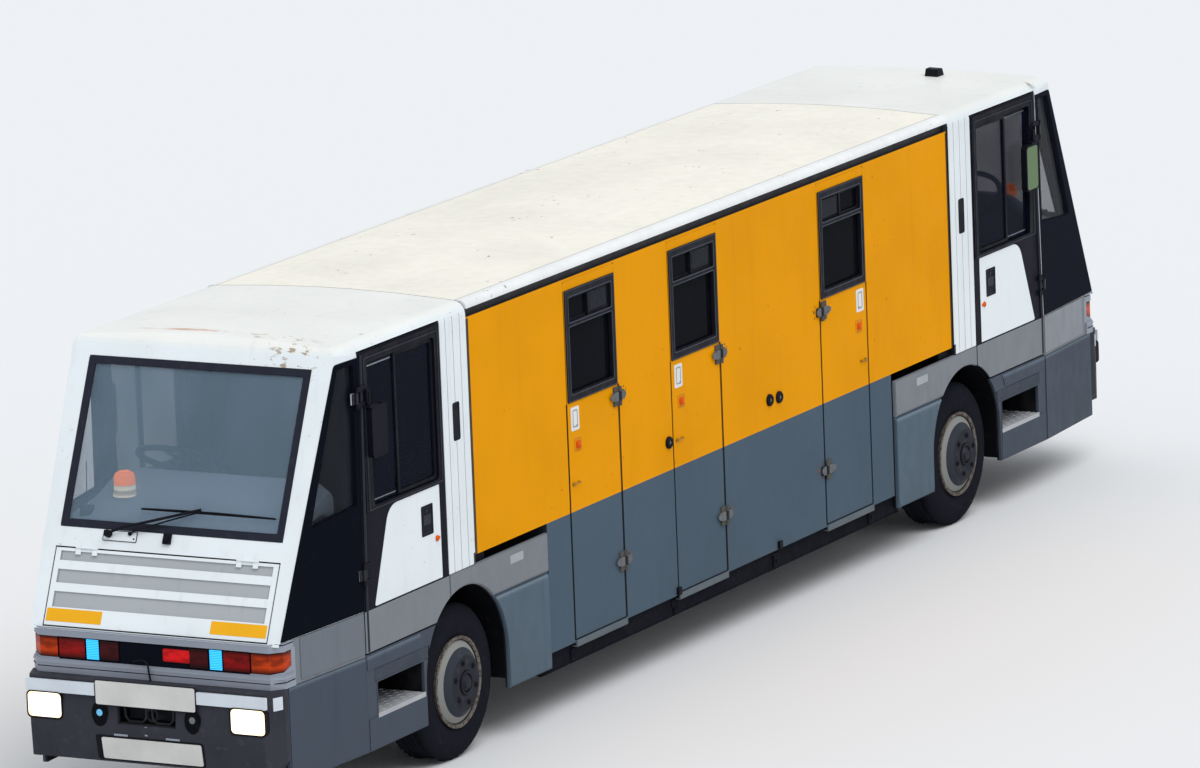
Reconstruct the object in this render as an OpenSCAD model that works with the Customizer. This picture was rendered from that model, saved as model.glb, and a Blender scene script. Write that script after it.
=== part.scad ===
// Double-ended service tunnel transport vehicle: a cab at each end and a crew pod between them.
// Millimetres, +X towards the front cab, +Y to the left, +Z up, standing on z = 0.
// The rear cab is the front cab turned half a turn about the vertical axis.

/* [Body] */
// Width over the body sides
body_w = 1384; // [1350:2:1420]
// Half the length of the crew pod's upper box
pod_half_l = 2532; // [2500:2:2570]
// Length of the ribbed pillar behind each cab door
pillar_l = 258; // [250:2:270]
// Length of a cab door along its lower edge
cab_door_l = 800; // [780:2:820]
// Length from a cab door to the nose at the belt line
quarter_l = 694; // [680:2:710]
// How far the nose leans back from the belt line to the brow
nose_lean = 530; // [500:2:560]
// How far the nose is inside the body's side at its foremost point
nose_in = 44; // [36:1:56]
// Height of the belt line
belt_z = 910; // [900:2:920]
// Height of the roof along the middle
roof_z = 2168; // [2160:2:2180]
// How far the roof falls from its middle to its side edges
roof_drop = 26; // [20:1:32]
// How far the brow above the windscreen lies below the roof
brow_drop = 83; // [76:1:95]
// Thickness of the cab's walls, roof and doors
wall_t = 36; // [30:1:40]
// Height of the lower edge of the skirts
skirt_z = 256; // [246:2:270]
// Thickness of the skirt panels
skirt_t = 24; // [20:1:30]

/* [Doors] */
// Gap around every door and flap
door_gap = 7; // [6:0.5:9]
// Height of the cab doors' lower edge
cab_door_z = 709; // [700:1:720]
// How far the cab doors' upper edge lies below the roof's edge
cab_door_head = 43; // [38:1:52]
// How far a cab door's front edge leans back at its top
cab_door_lean = 38; // [30:1:46]
// Distance from a cab door's upper edge down to its window's lower edge
cab_window_drop = 727; // [715:1:740]
// Width of the frame around a cab door window
cab_window_frame = 58; // [50:1:66]
// Width of a pod door
pod_door_w = 500; // [490:2:510]
// Height of the pod doors' lower edge
pod_door_z = 338; // [334:1:346]
// Distance between the first two pod doors
pod_door_pitch = 1052; // [1040:2:1064]
// How far the pod doors' upper edge lies below the edge of the pod's sides
pod_door_head = 14; // [10:1:20]
// How far the pod windows lie below the doors' upper edge
pod_window_head = 42; // [36:1:48]
// Height of the pod windows with their frames
pod_window_h = 538; // [520:2:550]
// Width of the dark frame around each pod window
pod_window_frame = 34; // [28:1:40]

/* [Pod] */
// How far the pod's sides lie inside the cabs' sides
pod_inset = 10; // [8:1:14]
// Height of the pod's lower edge
pod_z = 323; // [318:1:328]
// Height of the pod's deck over the wheels
pod_deck_z = 947; // [940:1:955]
// How far the upper edge of the pod's sides lies below the roof
pod_side_drop = 104; // [98:1:110]
// Distance from the axle to the pod's low middle part
pod_low_back = 827; // [822:1:840]
// Thickness of the pod's walls and doors
pod_t = 40; // [34:1:46]

/* [Wheels] */
// Distance from the pod's end to the axle
axle_ahead = 118; // [112:1:124]
// Radius of a tyre
tyre_r = 368; // [364:1:370]
// Width of a tyre
tyre_w = 222; // [216:1:228]
// Radius of the rim's flange
rim_r = 216; // [212:1:220]
// How far a tyre's outer side lies inside the body's side
tyre_in = 55; // [50:1:62]
// Radius of a wheel arch
arch_r = 392; // [390:1:396]
// Height of a wheel arch's centre
arch_z = 437; // [430:1:444]
// Radius of the kingpin and the wheel spindle
spindle_r = 24; // [20:1:28]
// Radial clearance of the shafts in their bores
fit = 0.05; // [0.02:0.01:0.09]

/* [Nose] */
// Distance along the slope from the belt line to the windscreen
screen_low = 460; // [452:2:468]
// Distance along the slope from the windscreen's top to the brow
screen_head = 31; // [24:1:38]
// Distance from the windscreen to the edge of the nose
screen_margin = 67; // [60:1:74]
// Width of the windscreen's dark border
screen_border = 46; // [40:1:52]
// Height of the service flap along the slope
flap_l = 362; // [354:2:366]
// Thickness of the service flap
flap_t = 18; // [16:1:20]
// How far the bumper stands out past the nose
bumper_out = 106; // [100:1:116]
// Height of the bumper's lower edge
bumper_z = 320; // [314:2:326]
// Height of the bumper's upper edge
bumper_top_z = 700; // [694:2:704]
// Height of the lamp strip's lower edge
lamp_z = 762; // [758:1:766]
// Height of the lamp strip
lamp_h = 106; // [102:1:110]
// Radius of the tow socket
tow_r = 20; // [16:1:24]
// Depth of the tow socket
tow_l = 80; // [70:1:90]

/* [Hidden] */
$fn = 48;

roof_edge_z = roof_z - roof_drop;
brow_z = roof_z - brow_drop;
cantrail_z = roof_edge_z - 35;
cab_door_top_z = roof_edge_z - cab_door_head;
cab_window_z = cab_door_top_z - cab_window_drop;
pod_side_top_z = roof_z - pod_side_drop;
pod_door_top_z = pod_side_top_z - pod_door_head;
pod_window_top_z = pod_door_top_z - pod_window_head;
pod_window_z = pod_window_top_z - pod_window_h;
screen_high = norm([nose_lean, brow_z - belt_z]) - screen_head;
dash_z = belt_z + 330;
half_w = body_w / 2;
pod_half_w = half_w - pod_inset;
nose_half_w = half_w - nose_in;
screen_half_w = nose_half_w - screen_margin;
tyre_out_y = half_w - tyre_in;
door_rear_x = pod_half_l + pillar_l;
door_front_x = door_rear_x + cab_door_l;
nose_x = door_front_x + quarter_l;
brow_x = nose_x - nose_lean;
lean = atan(nose_lean / (brow_z - belt_z));
wheel_x = pod_half_l + axle_ahead;
pod_low_x = wheel_x - pod_low_back;
fender_x = pod_low_x + 20;
cab_rear_x = pod_half_l + 6;
cab_floor_z = cab_door_z - 9;
floor_t = 36;
platform_z = arch_z + arch_r + 60;
platform_x = wheel_x + arch_r + 14;
taper = (half_w - nose_half_w) / quarter_l;
shoulder_r = 62;
pod_shoulder_r = 32;
brow_r = 90;
roof_t = 34;
roof_flat_w = 160;
seat = 0.3;
nose_wall_x = nose_x - 64;
wing_x = nose_x - 112;
black = "#24262b";
cab_white = "#dfe7ec";
silver_grey = "#8a9094";
blue_grey = "#56646d";
yellow = "#dd9a12";
cream = "#e6e2d6";

// Arc that rounds the corner b between a and c with radius r
function unit(v) = v / norm(v);
function corner(a, b, c, r, steps = 5) = r <= 0 ? [b] :
    let (u = unit(a - b), v = unit(c - b), half = acos(u * v) / 2,
         m = b + unit(u + v) * r / sin(half),
         p = b + u * r / tan(half) - m, q = b + v * r / tan(half) - m,
         from = atan2(p[1], p[0]), turn = atan2(p[0] * q[1] - p[1] * q[0], p * q))
    [for (i = [0:steps]) m + r * [cos(from + turn * i / steps), sin(from + turn * i / steps)]];
// Outline from a table of corners, each [first coordinate, second coordinate, radius]
function rounded(table) = let (n = len(table)) [for (i = [0:n - 1])
    let (a = table[(i + n - 1) % n], b = table[i], c = table[(i + 1) % n])
    each corner([a[0], a[1]], [b[0], b[1]], [c[0], c[1]], b[2])];
// Where the tapered side of the nose lies at x
function side_y(x) = half_w - max(0, x - door_front_x) * taper;
// How far the nose's face has moved back at height z
function face_x(z) = nose_x - (z - belt_z) * tan(lean);

// An outline of [x, z] points as a slab from y0 to y1
module slab(outline, y0, y1) {
    translate([0, y1, 0]) rotate([90, 0, 0]) linear_extrude(y1 - y0) polygon(outline);
}
// An outline of [y, z] points as a bar from x0 to x1
module bar(outline, x0, x1) {
    translate([x0, 0, 0]) rotate([90, 0, 90]) linear_extrude(x1 - x0) polygon(outline);
}
// A block between two corners
module block(a, b) {
    translate(a) cube(b - a);
}
module turned() {
    rotate([0, 0, 180]) children();
}
module other_side() {
    mirror([0, 1, 0]) children();
}
module both_ends() {
    children();
    turned() children();
}
module both_sides() {
    children();
    other_side() children();
}
// Local frame on the sloping nose: X out of the face, Y left, Z up the slope
module on_nose() {
    translate([nose_x, 0, belt_z]) rotate([0, -lean, 0]) children();
}

// Cab volume, its surfaces moved inwards by t and its sides by ts
module cab_volume(t, ts, low_z) {
    back = t / cos(lean);
    intersection() {
        slab(rounded([[cab_rear_x + t, low_z, 0], [nose_wall_x - t, low_z, 0],
            [nose_wall_x - t, belt_z - 14 - t, 0], [face_x(belt_z - 14 - t) - back, belt_z - 14 - t, 0],
            [face_x(roof_z - t) - back, roof_z - t, brow_r], [cab_rear_x + t, roof_z - t, 0]]),
            -half_w, half_w);
        translate([0, 0, low_z]) linear_extrude(roof_z) polygon([
            [cab_rear_x, half_w - ts], [door_front_x, half_w - ts],
            [nose_x + 20, side_y(nose_x + 20) - ts], [nose_x + 20, ts - side_y(nose_x + 20)],
            [door_front_x, ts - half_w], [cab_rear_x, ts - half_w]]);
        bar(roof_section(t, ts, low_z, shoulder_r - t / 2), cab_rear_x, nose_x + 20);
    }
}
// Cross-section under the roof, moved inwards by t and ts, its edges rounded with edge_r
function roof_section(t, ts, low_z, edge_r) = rounded([[half_w - ts, low_z, 0],
    [half_w - ts, roof_edge_z - t, edge_r], [half_w / 2, (roof_edge_z + 3 * roof_z) / 4 - t, 0],
    [roof_flat_w / 2, roof_z - t, 0], [-roof_flat_w / 2, roof_z - t, 0],
    [-half_w / 2, (roof_edge_z + 3 * roof_z) / 4 - t, 0],
    [ts - half_w, roof_edge_z - t, edge_r], [ts - half_w, low_z, 0]]);

// Outline of a cab door, its edges moved inwards by g
function cab_door_outline(g) = [[door_rear_x + g, cab_door_z + g], [door_front_x - g, cab_door_z + g],
    [door_front_x - g, belt_z], [door_front_x - cab_door_lean - g, cab_door_top_z - g],
    [door_rear_x + g, cab_door_top_z - g]];
function cab_window_outline(g) = rounded([
    [door_rear_x + cab_window_frame + g, cab_window_z + g, 14],
    [door_front_x - cab_window_frame - 76 - g, cab_window_z + g, 14],
    [door_front_x - cab_window_frame - 52 - g, cab_door_top_z - cab_window_frame - g, 14],
    [door_rear_x + cab_window_frame + g, cab_door_top_z - cab_window_frame - g, 14]]);
function quarter_window_outline(g) = rounded([
    [door_front_x - cab_door_lean + 52 + g, cab_window_z + 28 + g, 12],
    [face_x(cab_window_z) - 84 - g, cab_window_z + g, 12],
    [face_x(brow_z - 30) - 40 - g, brow_z - 30 - g, 8],
    [door_front_x - cab_door_lean + 36 + g, brow_z - 30 - g, 12]]);

module cab_shell() {
    color(cab_white) difference() {
        cab_volume(0, 0, cab_floor_z - floor_t);
        difference() {
            cab_volume(wall_t, wall_t, cab_floor_z);
            block([cab_rear_x, -half_w, cab_floor_z - 1], [platform_x + floor_t, half_w, platform_z]);
        }
        block([cab_rear_x - 1, -half_w - 1, cab_floor_z - floor_t - 1],
            [platform_x, half_w + 1, platform_z - floor_t]);
        both_sides() {
            slab(cab_door_outline(-door_gap / 2), half_w - wall_t - door_gap - 4, half_w + 1);
            slab(quarter_window_outline(0), half_w - 120, half_w + 1);
            // lower sides, where the skirts stand
            linear_extrude(belt_z) polygon([[cab_rear_x - 1, half_w - skirt_t - seat],
                [door_front_x, half_w - skirt_t - seat], [nose_x + 1, side_y(nose_x + 1) - skirt_t - seat],
                [nose_x + 1, half_w + 1], [cab_rear_x - 1, half_w + 1]]);
            // grooves of the ribbed pillar
            for (i = [0:2])
                block([pod_half_l + 62 + i * 68, half_w - 5, belt_z - 1],
                    [pod_half_l + 67 + i * 68, half_w + 1, roof_z]);
            // air slot in the pillar
            block([door_rear_x - 152, half_w - 20, cab_window_z + 147],
                [door_rear_x - 106, half_w + 1, cab_window_z + 322]);
        }
        on_nose() {
            block([-wall_t * 2, -screen_half_w, screen_low], [20, screen_half_w, screen_high]);
            block([-wall_t * 2, -screen_half_w - door_gap, -4], [20, screen_half_w + door_gap, flap_l + door_gap]);
        }
    }
    // wall behind the service flap, under the windscreen
    color(black) slab([[nose_x - 330, cab_floor_z - 1], [nose_x - 300, cab_floor_z - 1],
        [face_x(dash_z) - 150, dash_z], [face_x(dash_z) - 40, dash_z + 22], [face_x(dash_z) - 60, dash_z + 50],
        [face_x(dash_z) - 190, dash_z + 22]], -nose_half_w + wall_t + 14, nose_half_w - wall_t - 14);
    // fixed hinge halves of the flap
    color(black) on_nose() for (y = flap_hinge_y) {
        translate([flap_hinge_out, y - 30, flap_hinge_z]) rotate([-90, 0, 0]) cylinder(r = 5, h = 60);
        block([-1, y - 30, flap_hinge_z], [flap_hinge_out - 1, y + 30, flap_hinge_z + 32]);
    }
    // fixed hinge halves of the doors
    color(black) both_sides() for (z = cab_hinge_z) cab_hinge_fixed(z);
}

cab_hinge_z = [cab_door_z + 371, cab_door_top_z - 204];
cab_hinge_x = door_front_x - door_gap / 2;
cab_hinge_y = half_w + 9;
module cab_hinge_fixed(z) {
    translate([cab_hinge_x, cab_hinge_y, z - 25]) cylinder(r = 8, h = 50);
    block([cab_hinge_x, half_w - 9, z - 25], [cab_hinge_x + 30, cab_hinge_y - 3, z + 25]);
}
module cab_hinge_moving(z) {
    for (low = [-25 - seat - 25, 25 + seat]) {
        edge_x = door_front_x - door_gap / 2 - cab_door_lean * (z + low + 25 - belt_z) / (cab_door_top_z - belt_z);
        translate([cab_hinge_x, cab_hinge_y, z + low]) cylinder(r = 8, h = 25);
        block([edge_x - 50, half_w - 6, z + low], [edge_x - 1, cab_hinge_y + 4, z + low + 25]);
        block([edge_x - 30, cab_hinge_y - 3, z + low], [cab_hinge_x - 4, cab_hinge_y + 4, z + low + 25]);
    }
}

mirror_x0 = door_front_x - 225;
mirror_x1 = door_front_x - 85;
mirror_z0 = cab_door_top_z - 497;
mirror_z1 = cab_door_top_z - 257;
module cab_door() {
    color(black) difference() {
        slab(cab_door_outline(door_gap / 2), half_w - wall_t, half_w);
        slab(cab_window_outline(0), half_w - wall_t - 1, half_w + 1);
        translate([wheel_x, half_w + 1, arch_z]) rotate([90, 0, 0]) cylinder(r = arch_r, h = wall_t + 2, $fn = 96);
        // recessed handle
        block([door_rear_x + 142, half_w - 18, cab_window_z - 248],
            [door_rear_x + 212, half_w + 1, cab_window_z - 88]);
    }
    color(black) for (z = cab_hinge_z) cab_hinge_moving(z);
    // mirror, folded back over the front of the window, on its bracket
    color(black) {
        slab(rounded([[mirror_x0, mirror_z0, 26], [mirror_x1, mirror_z0, 26],
            [mirror_x1, mirror_z1, 26], [mirror_x0, mirror_z1, 26]]), half_w + 6, half_w + 38);
        block([mirror_x1 - 26, half_w - 1, mirror_z1 + 26], [mirror_x1 + 12, half_w + 14, mirror_z1 + 84]);
        block([mirror_x1 - 20, half_w + 10, mirror_z1 - 2], [mirror_x1 - 6, half_w + 24, mirror_z1 + 70]);
    }
}
module cab_pane() {
    color("lightblue", 0.4) slab(cab_window_outline(0), half_w - wall_t / 2 - 3, half_w - wall_t / 2 + 3);
}

module cab_glass() {
    color("lightblue", 0.4) both_ends() {
        on_nose() block([-14, -screen_half_w, screen_low], [-6, screen_half_w, screen_high]);
        both_sides() intersection() {
            slab(quarter_window_outline(0), half_w - 120, half_w);
            translate([0, 0, belt_z]) linear_extrude(roof_z) polygon([
                [door_front_x, half_w - 14], [nose_x, nose_half_w - 14],
                [nose_x, nose_half_w - 20], [door_front_x, half_w - 20],
                [door_front_x - 99, half_w - 20], [door_front_x - 99, half_w - 14]]);
        }
    }
}

// Skirts: silver and blue-grey panels below the belt line, with the step box and the fender
step_x0 = platform_x + 6;
step_x1 = door_front_x - 92;
step_z0 = 414;
step_z1 = 565;
step_depth = 240;
fender_split_z = 725;
module arch_cut() {
    translate([wheel_x, half_w + 1, arch_z]) rotate([90, 0, 0]) cylinder(r = arch_r, h = 80, $fn = 96);
    block([wheel_x - arch_r, half_w - 79, 0], [wheel_x + arch_r, half_w + 1, arch_z]);
}
module skirts() {
    both_sides() {
        color(silver_grey) difference() {
            union() {
                // band over the wheel
                block([fender_x, half_w - skirt_t, fender_split_z], [door_rear_x - door_gap / 2, half_w, belt_z - 3]);
                // step panel under the door
                block([wheel_x, half_w - skirt_t, skirt_z],
                    [door_front_x - 1, half_w, cab_door_z - door_gap / 2]);
            }
            arch_cut();
            block([step_x0, half_w - skirt_t - 1, step_z0], [step_x1, half_w + 1, step_z1]);
            block([step_x0 - 60, half_w - 7, 566], [step_x1 + 20, half_w + 1, 626]);
        }
        color(blue_grey) difference() {
            bar([[half_w - skirt_t, skirt_z], [half_w, skirt_z], [half_w, fender_split_z - 20],
                [half_w - 12, fender_split_z], [half_w - skirt_t, fender_split_z]], fender_x, wheel_x);
            arch_cut();
        }
        // step box with its tread
        color(black) difference() {
            block([step_x0 - 6, half_w - step_depth, step_z0 - 6], [step_x1 + 6, half_w - skirt_t, step_z1 + 6]);
            block([step_x0, half_w - step_depth + 6, step_z0], [step_x1, half_w, step_z1]);
        }
        // front quarter, tapered with the nose
        color(silver_grey) quarter_skirt(bumper_top_z, belt_z - 3, wing_x - 1);
        color(blue_grey) quarter_skirt(skirt_z, bumper_top_z, bumper_back_x - 1);
    }
}
module quarter_skirt(z0, z1, end_x) {
    translate([0, 0, z0]) linear_extrude(z1 - z0) polygon([
        [door_front_x + 4, side_y(door_front_x + 4)], [end_x, side_y(end_x)],
        [end_x, side_y(end_x) - skirt_t], [door_front_x + 4, side_y(door_front_x + 4) - skirt_t]]);
}

// Bumper: a hollow moulding that wraps round the corners, with its lamps' openings
bumper_x = nose_x + bumper_out;
bumper_back_x = nose_x - 48;
function bumper_plan(t) = [[bumper_back_x, side_y(bumper_back_x) + 2 - t], [bumper_x - 120, nose_half_w + 10 - t],
    [bumper_x - t, nose_half_w - 40 - t], [bumper_x - t, t + 40 - nose_half_w],
    [bumper_x - 120, t - nose_half_w - 10], [bumper_back_x, t - 2 - side_y(bumper_back_x)]];
bumper_t = 20;
head_y0 = nose_half_w - 208;
head_y1 = nose_half_w - 42;
head_z0 = 512;
head_z1 = 622;
tow_z = 547;
module bumper() {
    color(black) difference() {
        intersection() {
            translate([0, 0, bumper_z]) linear_extrude(bumper_top_z - bumper_z) polygon(bumper_plan(0));
            slab(rounded([[bumper_back_x - 1, bumper_z, 0], [bumper_x - 26, bumper_z, 12],
                [bumper_x, 480, 60], [bumper_x - 22, bumper_top_z, 10], [bumper_back_x - 1, bumper_top_z, 0]]),
                -half_w, half_w);
            bar([[70 - half_w, bumper_z], [half_w - 70, bumper_z], [half_w, 420], [half_w, bumper_top_z],
                [-half_w, bumper_top_z], [-half_w, 420]], bumper_back_x - 1, bumper_x + 1);
        }
        translate([-1, 0, bumper_z - 1]) linear_extrude(bumper_top_z - bumper_z - bumper_t + 1)
            polygon(bumper_plan(bumper_t + 8));
        both_sides() block([nose_x, head_y0, head_z0], [bumper_x + 1, head_y1, head_z1]);
        block([nose_x, -152, 506], [bumper_x + 1, 152, 590]);
        both_sides() bumper_bracket();
    }
    // tow socket on its cross beam
    color(black) difference() {
        union() {
            block([nose_x - 44, -160, tow_z - 41], [nose_x - 24, 160, tow_z + 41]);
            translate([nose_x - 24, 0, tow_z]) rotate([0, 90, 0]) cylinder(r = tow_r + 14, h = tow_l - 4);
        }
        translate([nose_x - 26, 0, tow_z]) rotate([0, 90, 0]) {
            cylinder(r = tow_r, h = tow_l - 4);
            translate([0, 0, -4]) cylinder(r1 = tow_r - 8, r2 = tow_r, h = 4);
            translate([0, 0, tow_l - 4]) cylinder(r1 = tow_r, r2 = tow_r + 4, h = 4);
        }
    }
    // brackets from the frame's end beam to the moulding
    color(black) both_sides() bumper_bracket();
    // headlamp bodies
    color("white") both_sides()
        block([bumper_x - 70, head_y0, head_z0], [bumper_x - 30, head_y1, head_z1]);
}

module bumper_bracket() {
    block([nose_x - 44, bracket_y0, end_rail_z1 + 10], [bumper_x - bumper_t - 8, bracket_y0 + 40, end_rail_z1 + 70]);
}

// Lamp strip between the flap and the bumper, wrapping round the corners
lamp_x = nose_x + 16;
function lamp_plan(t) = [[wing_x, side_y(wing_x) - t], [nose_x - 34, side_y(nose_x - 34) + 2 - t],
    [lamp_x - t, nose_half_w - 46 - t], [lamp_x - t, t + 46 - nose_half_w],
    [nose_x - 34, t - 2 - side_y(nose_x - 34)], [wing_x, t - side_y(wing_x)]];
module lamp_ring(z0, z1, t) {
    translate([0, 0, z0]) linear_extrude(z1 - z0) difference() {
        polygon(lamp_plan(t));
        polygon([[wing_x - 1, side_y(wing_x - 1) - skirt_t], [nose_wall_x, side_y(nose_wall_x) - skirt_t],
            [nose_wall_x, skirt_t - side_y(nose_wall_x)], [wing_x - 1, skirt_t - side_y(wing_x - 1)]]);
    }
}
module lamp_housings() {
    color(silver_grey) both_ends() {
        lamp_ring(lamp_z + lamp_h, belt_z - 14, 0);
        lamp_ring(bumper_top_z, lamp_z, -8);
    }
}
module lamp_lenses() {
    // each lens: distance from the middle to its inner and outer edge
    color("firebrick") both_ends() intersection() {
        lamp_ring(lamp_z, lamp_z + lamp_h, 8);
        for (edges = [[-half_w, -504], [-500, -360], [-356, -288], [-284, -182], [-178, 178],
                      [182, 284], [288, 356], [360, 500], [504, half_w]])
            block([wing_x, edges[0], lamp_z], [lamp_x, edges[1], lamp_z + lamp_h]);
    }
}

// Service flap with raised bars, hinged along its upper edge
flap_hinge_y = [161 - screen_half_w, screen_half_w - 161];
flap_hinge_out = 5;
flap_hinge_z = flap_l + door_gap / 2;
module flap() {
    on_nose() {
        color(silver_grey) block([-flap_t, -screen_half_w, 3], [-7, screen_half_w, flap_l]);
        color(cab_white) {
            // raised bars: height along the slope of each lower and upper edge
            for (edges = [[3, 88], [160, 200], [263, 304], [348, flap_l]])
                block([-7, -screen_half_w, edges[0]], [0, screen_half_w, edges[1]]);
            both_sides() block([-7, screen_half_w - 26, 3], [0, screen_half_w, flap_l]);
        }
        color(black) for (y = flap_hinge_y, low = [-30 - seat - 26, 30 + seat]) {
            translate([flap_hinge_out, y + low, flap_hinge_z]) rotate([-90, 0, 0]) cylinder(r = 5, h = 26);
            block([-1, y + low, flap_l - 28], [flap_hinge_out - 1, y + low + 26, flap_hinge_z]);
        }
    }
}

// Box for an aerial on the roof of the rear cab
module roof_box() {
    y = 150;
    slope = atan((roof_z - roof_edge_z) / 4 / (half_w / 2 - roof_flat_w / 2));
    color(black) translate([-door_front_x + 90, y, roof_z + seat - (y - roof_flat_w / 2) * tan(slope)])
        rotate([-slope, 0, 0]) slab([[-40, 0], [40, 0], [28, 38], [-20, 38]], -36, 36);
}

module wipers() {
    color(black) both_ends() on_nose() {
        block([0, -345, 396], [8, -227, 440]);
        for (y = [-319, -240])
            translate([0, y, 418]) rotate([0, 90, 0]) cylinder(r = 11, h = 34);
        translate([22, -319, 418]) rotate([-72, 0, 0]) block([0, -6, 0], [8, 6, 480]);
        translate([22, 137, 566]) rotate([-94, 0, 0]) block([-6, -7, -330], [6, 7, 330]);
    }
}

module dashboards() {
    color("#5b6a78") both_ends() slab(rounded([[nose_x - 344, cab_floor_z, 0],
        [nose_x - 344, dash_z - 30, 20], [face_x(dash_z) - 196, dash_z + 32, 0],
        [face_x(dash_z + 50) - 50, dash_z + 60, 20], [face_x(dash_z + 140) - 120, dash_z + 122, 60],
        [brow_x - 40, dash_z + 160, 60], [brow_x - 70, dash_z, 20],
        [brow_x + 60, cab_floor_z, 0]]), -nose_half_w + wall_t + 16, nose_half_w - wall_t - 16);
}

steer_y = -280;
module steering_wheels() {
    color(black) both_ends() translate([brow_x - 250, steer_y, dash_z + 290]) rotate([0, -28, 0]) {
        rotate_extrude($fn = 64) translate([205, 0]) circle(r = 14, $fn = 20);
        for (a = [0, 120, 240]) rotate([0, 0, a]) block([30, -11, -6], [198, 11, 6]);
        translate([0, 0, -326.2]) cylinder(r = 34, h = 341.2);
    }
}

module cab_seats() {
    both_ends() for (y = [-310, 310]) translate([platform_x - 136, y, platform_z]) {
        color(black) block([-150, -150, 0], [150, 150, 180]);
        color("#33465e") {
            slab(rounded([[-230, 180, 20], [250, 180, 40], [250, 290, 40], [-230, 290, 0]]), -225, 225);
            slab(rounded([[-230, 290, 0], [-150, 290, 0], [-230, 880, 30], [-330, 880, 30], [-270, 330, 20]]), -220, 220);
        }
    }
}

// Pod: sandwich walls and a floor with a deck over each pair of wheels
// Each door: middle of the door along X, and the side of its hinges (1 front, -1 rear)
pod_doors = [[pod_low_x - 498, -1], [pod_low_x - 498 - pod_door_pitch, -1], [501 - pod_low_x, 1]];
pod_floor_t = 50;
deck_t = 40;
module pod_sides() {
    color(yellow) both_ends() difference() {
        slab([[-pod_low_x, pod_z], [pod_low_x, pod_z], [pod_low_x, pod_deck_z], [pod_half_l, pod_deck_z],
            [pod_half_l, pod_side_top_z], [-pod_half_l, pod_side_top_z], [-pod_half_l, pod_deck_z],
            [-pod_low_x, pod_deck_z]], pod_half_w - pod_t, pod_half_w);
        for (d = pod_doors)
            block([d[0] - pod_door_w / 2 - door_gap, pod_half_w - pod_t - 1, pod_door_z - door_gap],
                [d[0] + pod_door_w / 2 + door_gap, pod_half_w + 1, pod_door_top_z + door_gap]);
    }
}
module pod_floor() {
    inner_y = pod_half_w - pod_t - seat;
    color(cab_white) difference() {
        slab([[-pod_low_x, pod_z], [pod_low_x, pod_z], [pod_low_x, pod_deck_z], [pod_half_l, pod_deck_z],
            [pod_half_l, pod_side_top_z], [-pod_half_l, pod_side_top_z], [-pod_half_l, pod_deck_z],
            [-pod_low_x, pod_deck_z]], -inner_y, inner_y);
        slab([[pod_t - pod_low_x, pod_z + pod_floor_t], [pod_low_x - pod_t, pod_z + pod_floor_t],
            [pod_low_x - pod_t, pod_deck_z + deck_t], [pod_half_l - pod_t, pod_deck_z + deck_t],
            [pod_half_l - pod_t, pod_side_top_z + 1], [pod_t - pod_half_l, pod_side_top_z + 1],
            [pod_t - pod_half_l, pod_deck_z + deck_t], [pod_t - pod_low_x, pod_deck_z + deck_t]],
            -half_w, half_w);
    }
}
module pod_hinges() {
    color(black) both_ends() for (d = pod_doors, z = pod_hinge_z) pod_hinge_fixed(d, z);
}
module pod_roof() {
    inner_w = pod_half_w - pod_t;
    neck_w = pod_half_w - 20;
    color(cream) difference() {
        bar([[neck_w, pod_side_top_z], [neck_w, cantrail_z], each roof_section(0, 0, cantrail_z, pod_shoulder_r),
            [-neck_w, cantrail_z], [-neck_w, pod_side_top_z]],
            4 - pod_half_l, pod_half_l - 4);
        bar([[-inner_w, pod_side_top_z - 1], [inner_w, pod_side_top_z - 1],
            [inner_w - 20, roof_edge_z - roof_t], [20 - inner_w, roof_edge_z - roof_t]],
            pod_t - pod_half_l, pod_half_l - pod_t);
    }
}

pod_hinge_z = [pod_door_z + 274, pod_window_z - 58];
pod_hinge_y = pod_half_w + 12;
// Place of a door's hinge axis along X
function pod_hinge_x(d) = d[0] + d[1] * (pod_door_w / 2 + door_gap / 2);
module pod_hinge_fixed(d, z) {
    x = pod_hinge_x(d);
    translate([x, pod_hinge_y, z - 22]) cylinder(r = 9, h = 44);
    block([min(x, x + d[1] * 46), pod_half_w + seat, z - 22], [max(x, x + d[1] * 46), pod_hinge_y - 3, z + 22]);
}
module pod_hinge_moving(d, z) {
    x = pod_hinge_x(d);
    for (low = [-22 - seat - 24, 22 + seat]) {
        translate([x, pod_hinge_y, z + low]) cylinder(r = 9, h = 24);
        block([min(x, x - d[1] * 52), pod_half_w - 1, z + low],
            [max(x, x - d[1] * 52), pod_hinge_y - 3, z + low + 24]);
    }
}
module pod_door(d) {
    color(yellow) difference() {
        block([d[0] - pod_door_w / 2, pod_half_w - pod_t + 5, pod_door_z],
            [d[0] + pod_door_w / 2, pod_half_w, pod_door_top_z]);
        pod_window(d, pod_t + 2);
    }
    color(black) for (z = pod_hinge_z) pod_hinge_moving(d, z);
}
module pod_window(d, depth) {
    block([d[0] - pod_door_w / 2 + pod_window_frame, pod_half_w - pod_t / 2 - depth / 2, pod_window_z + pod_window_frame],
        [d[0] + pod_door_w / 2 - pod_window_frame, pod_half_w - pod_t / 2 + depth / 2,
         pod_window_top_z - pod_window_frame]);
}
module pod_pane(d) {
    color("lightblue", 0.4) pod_window(d, 6);
}
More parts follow.
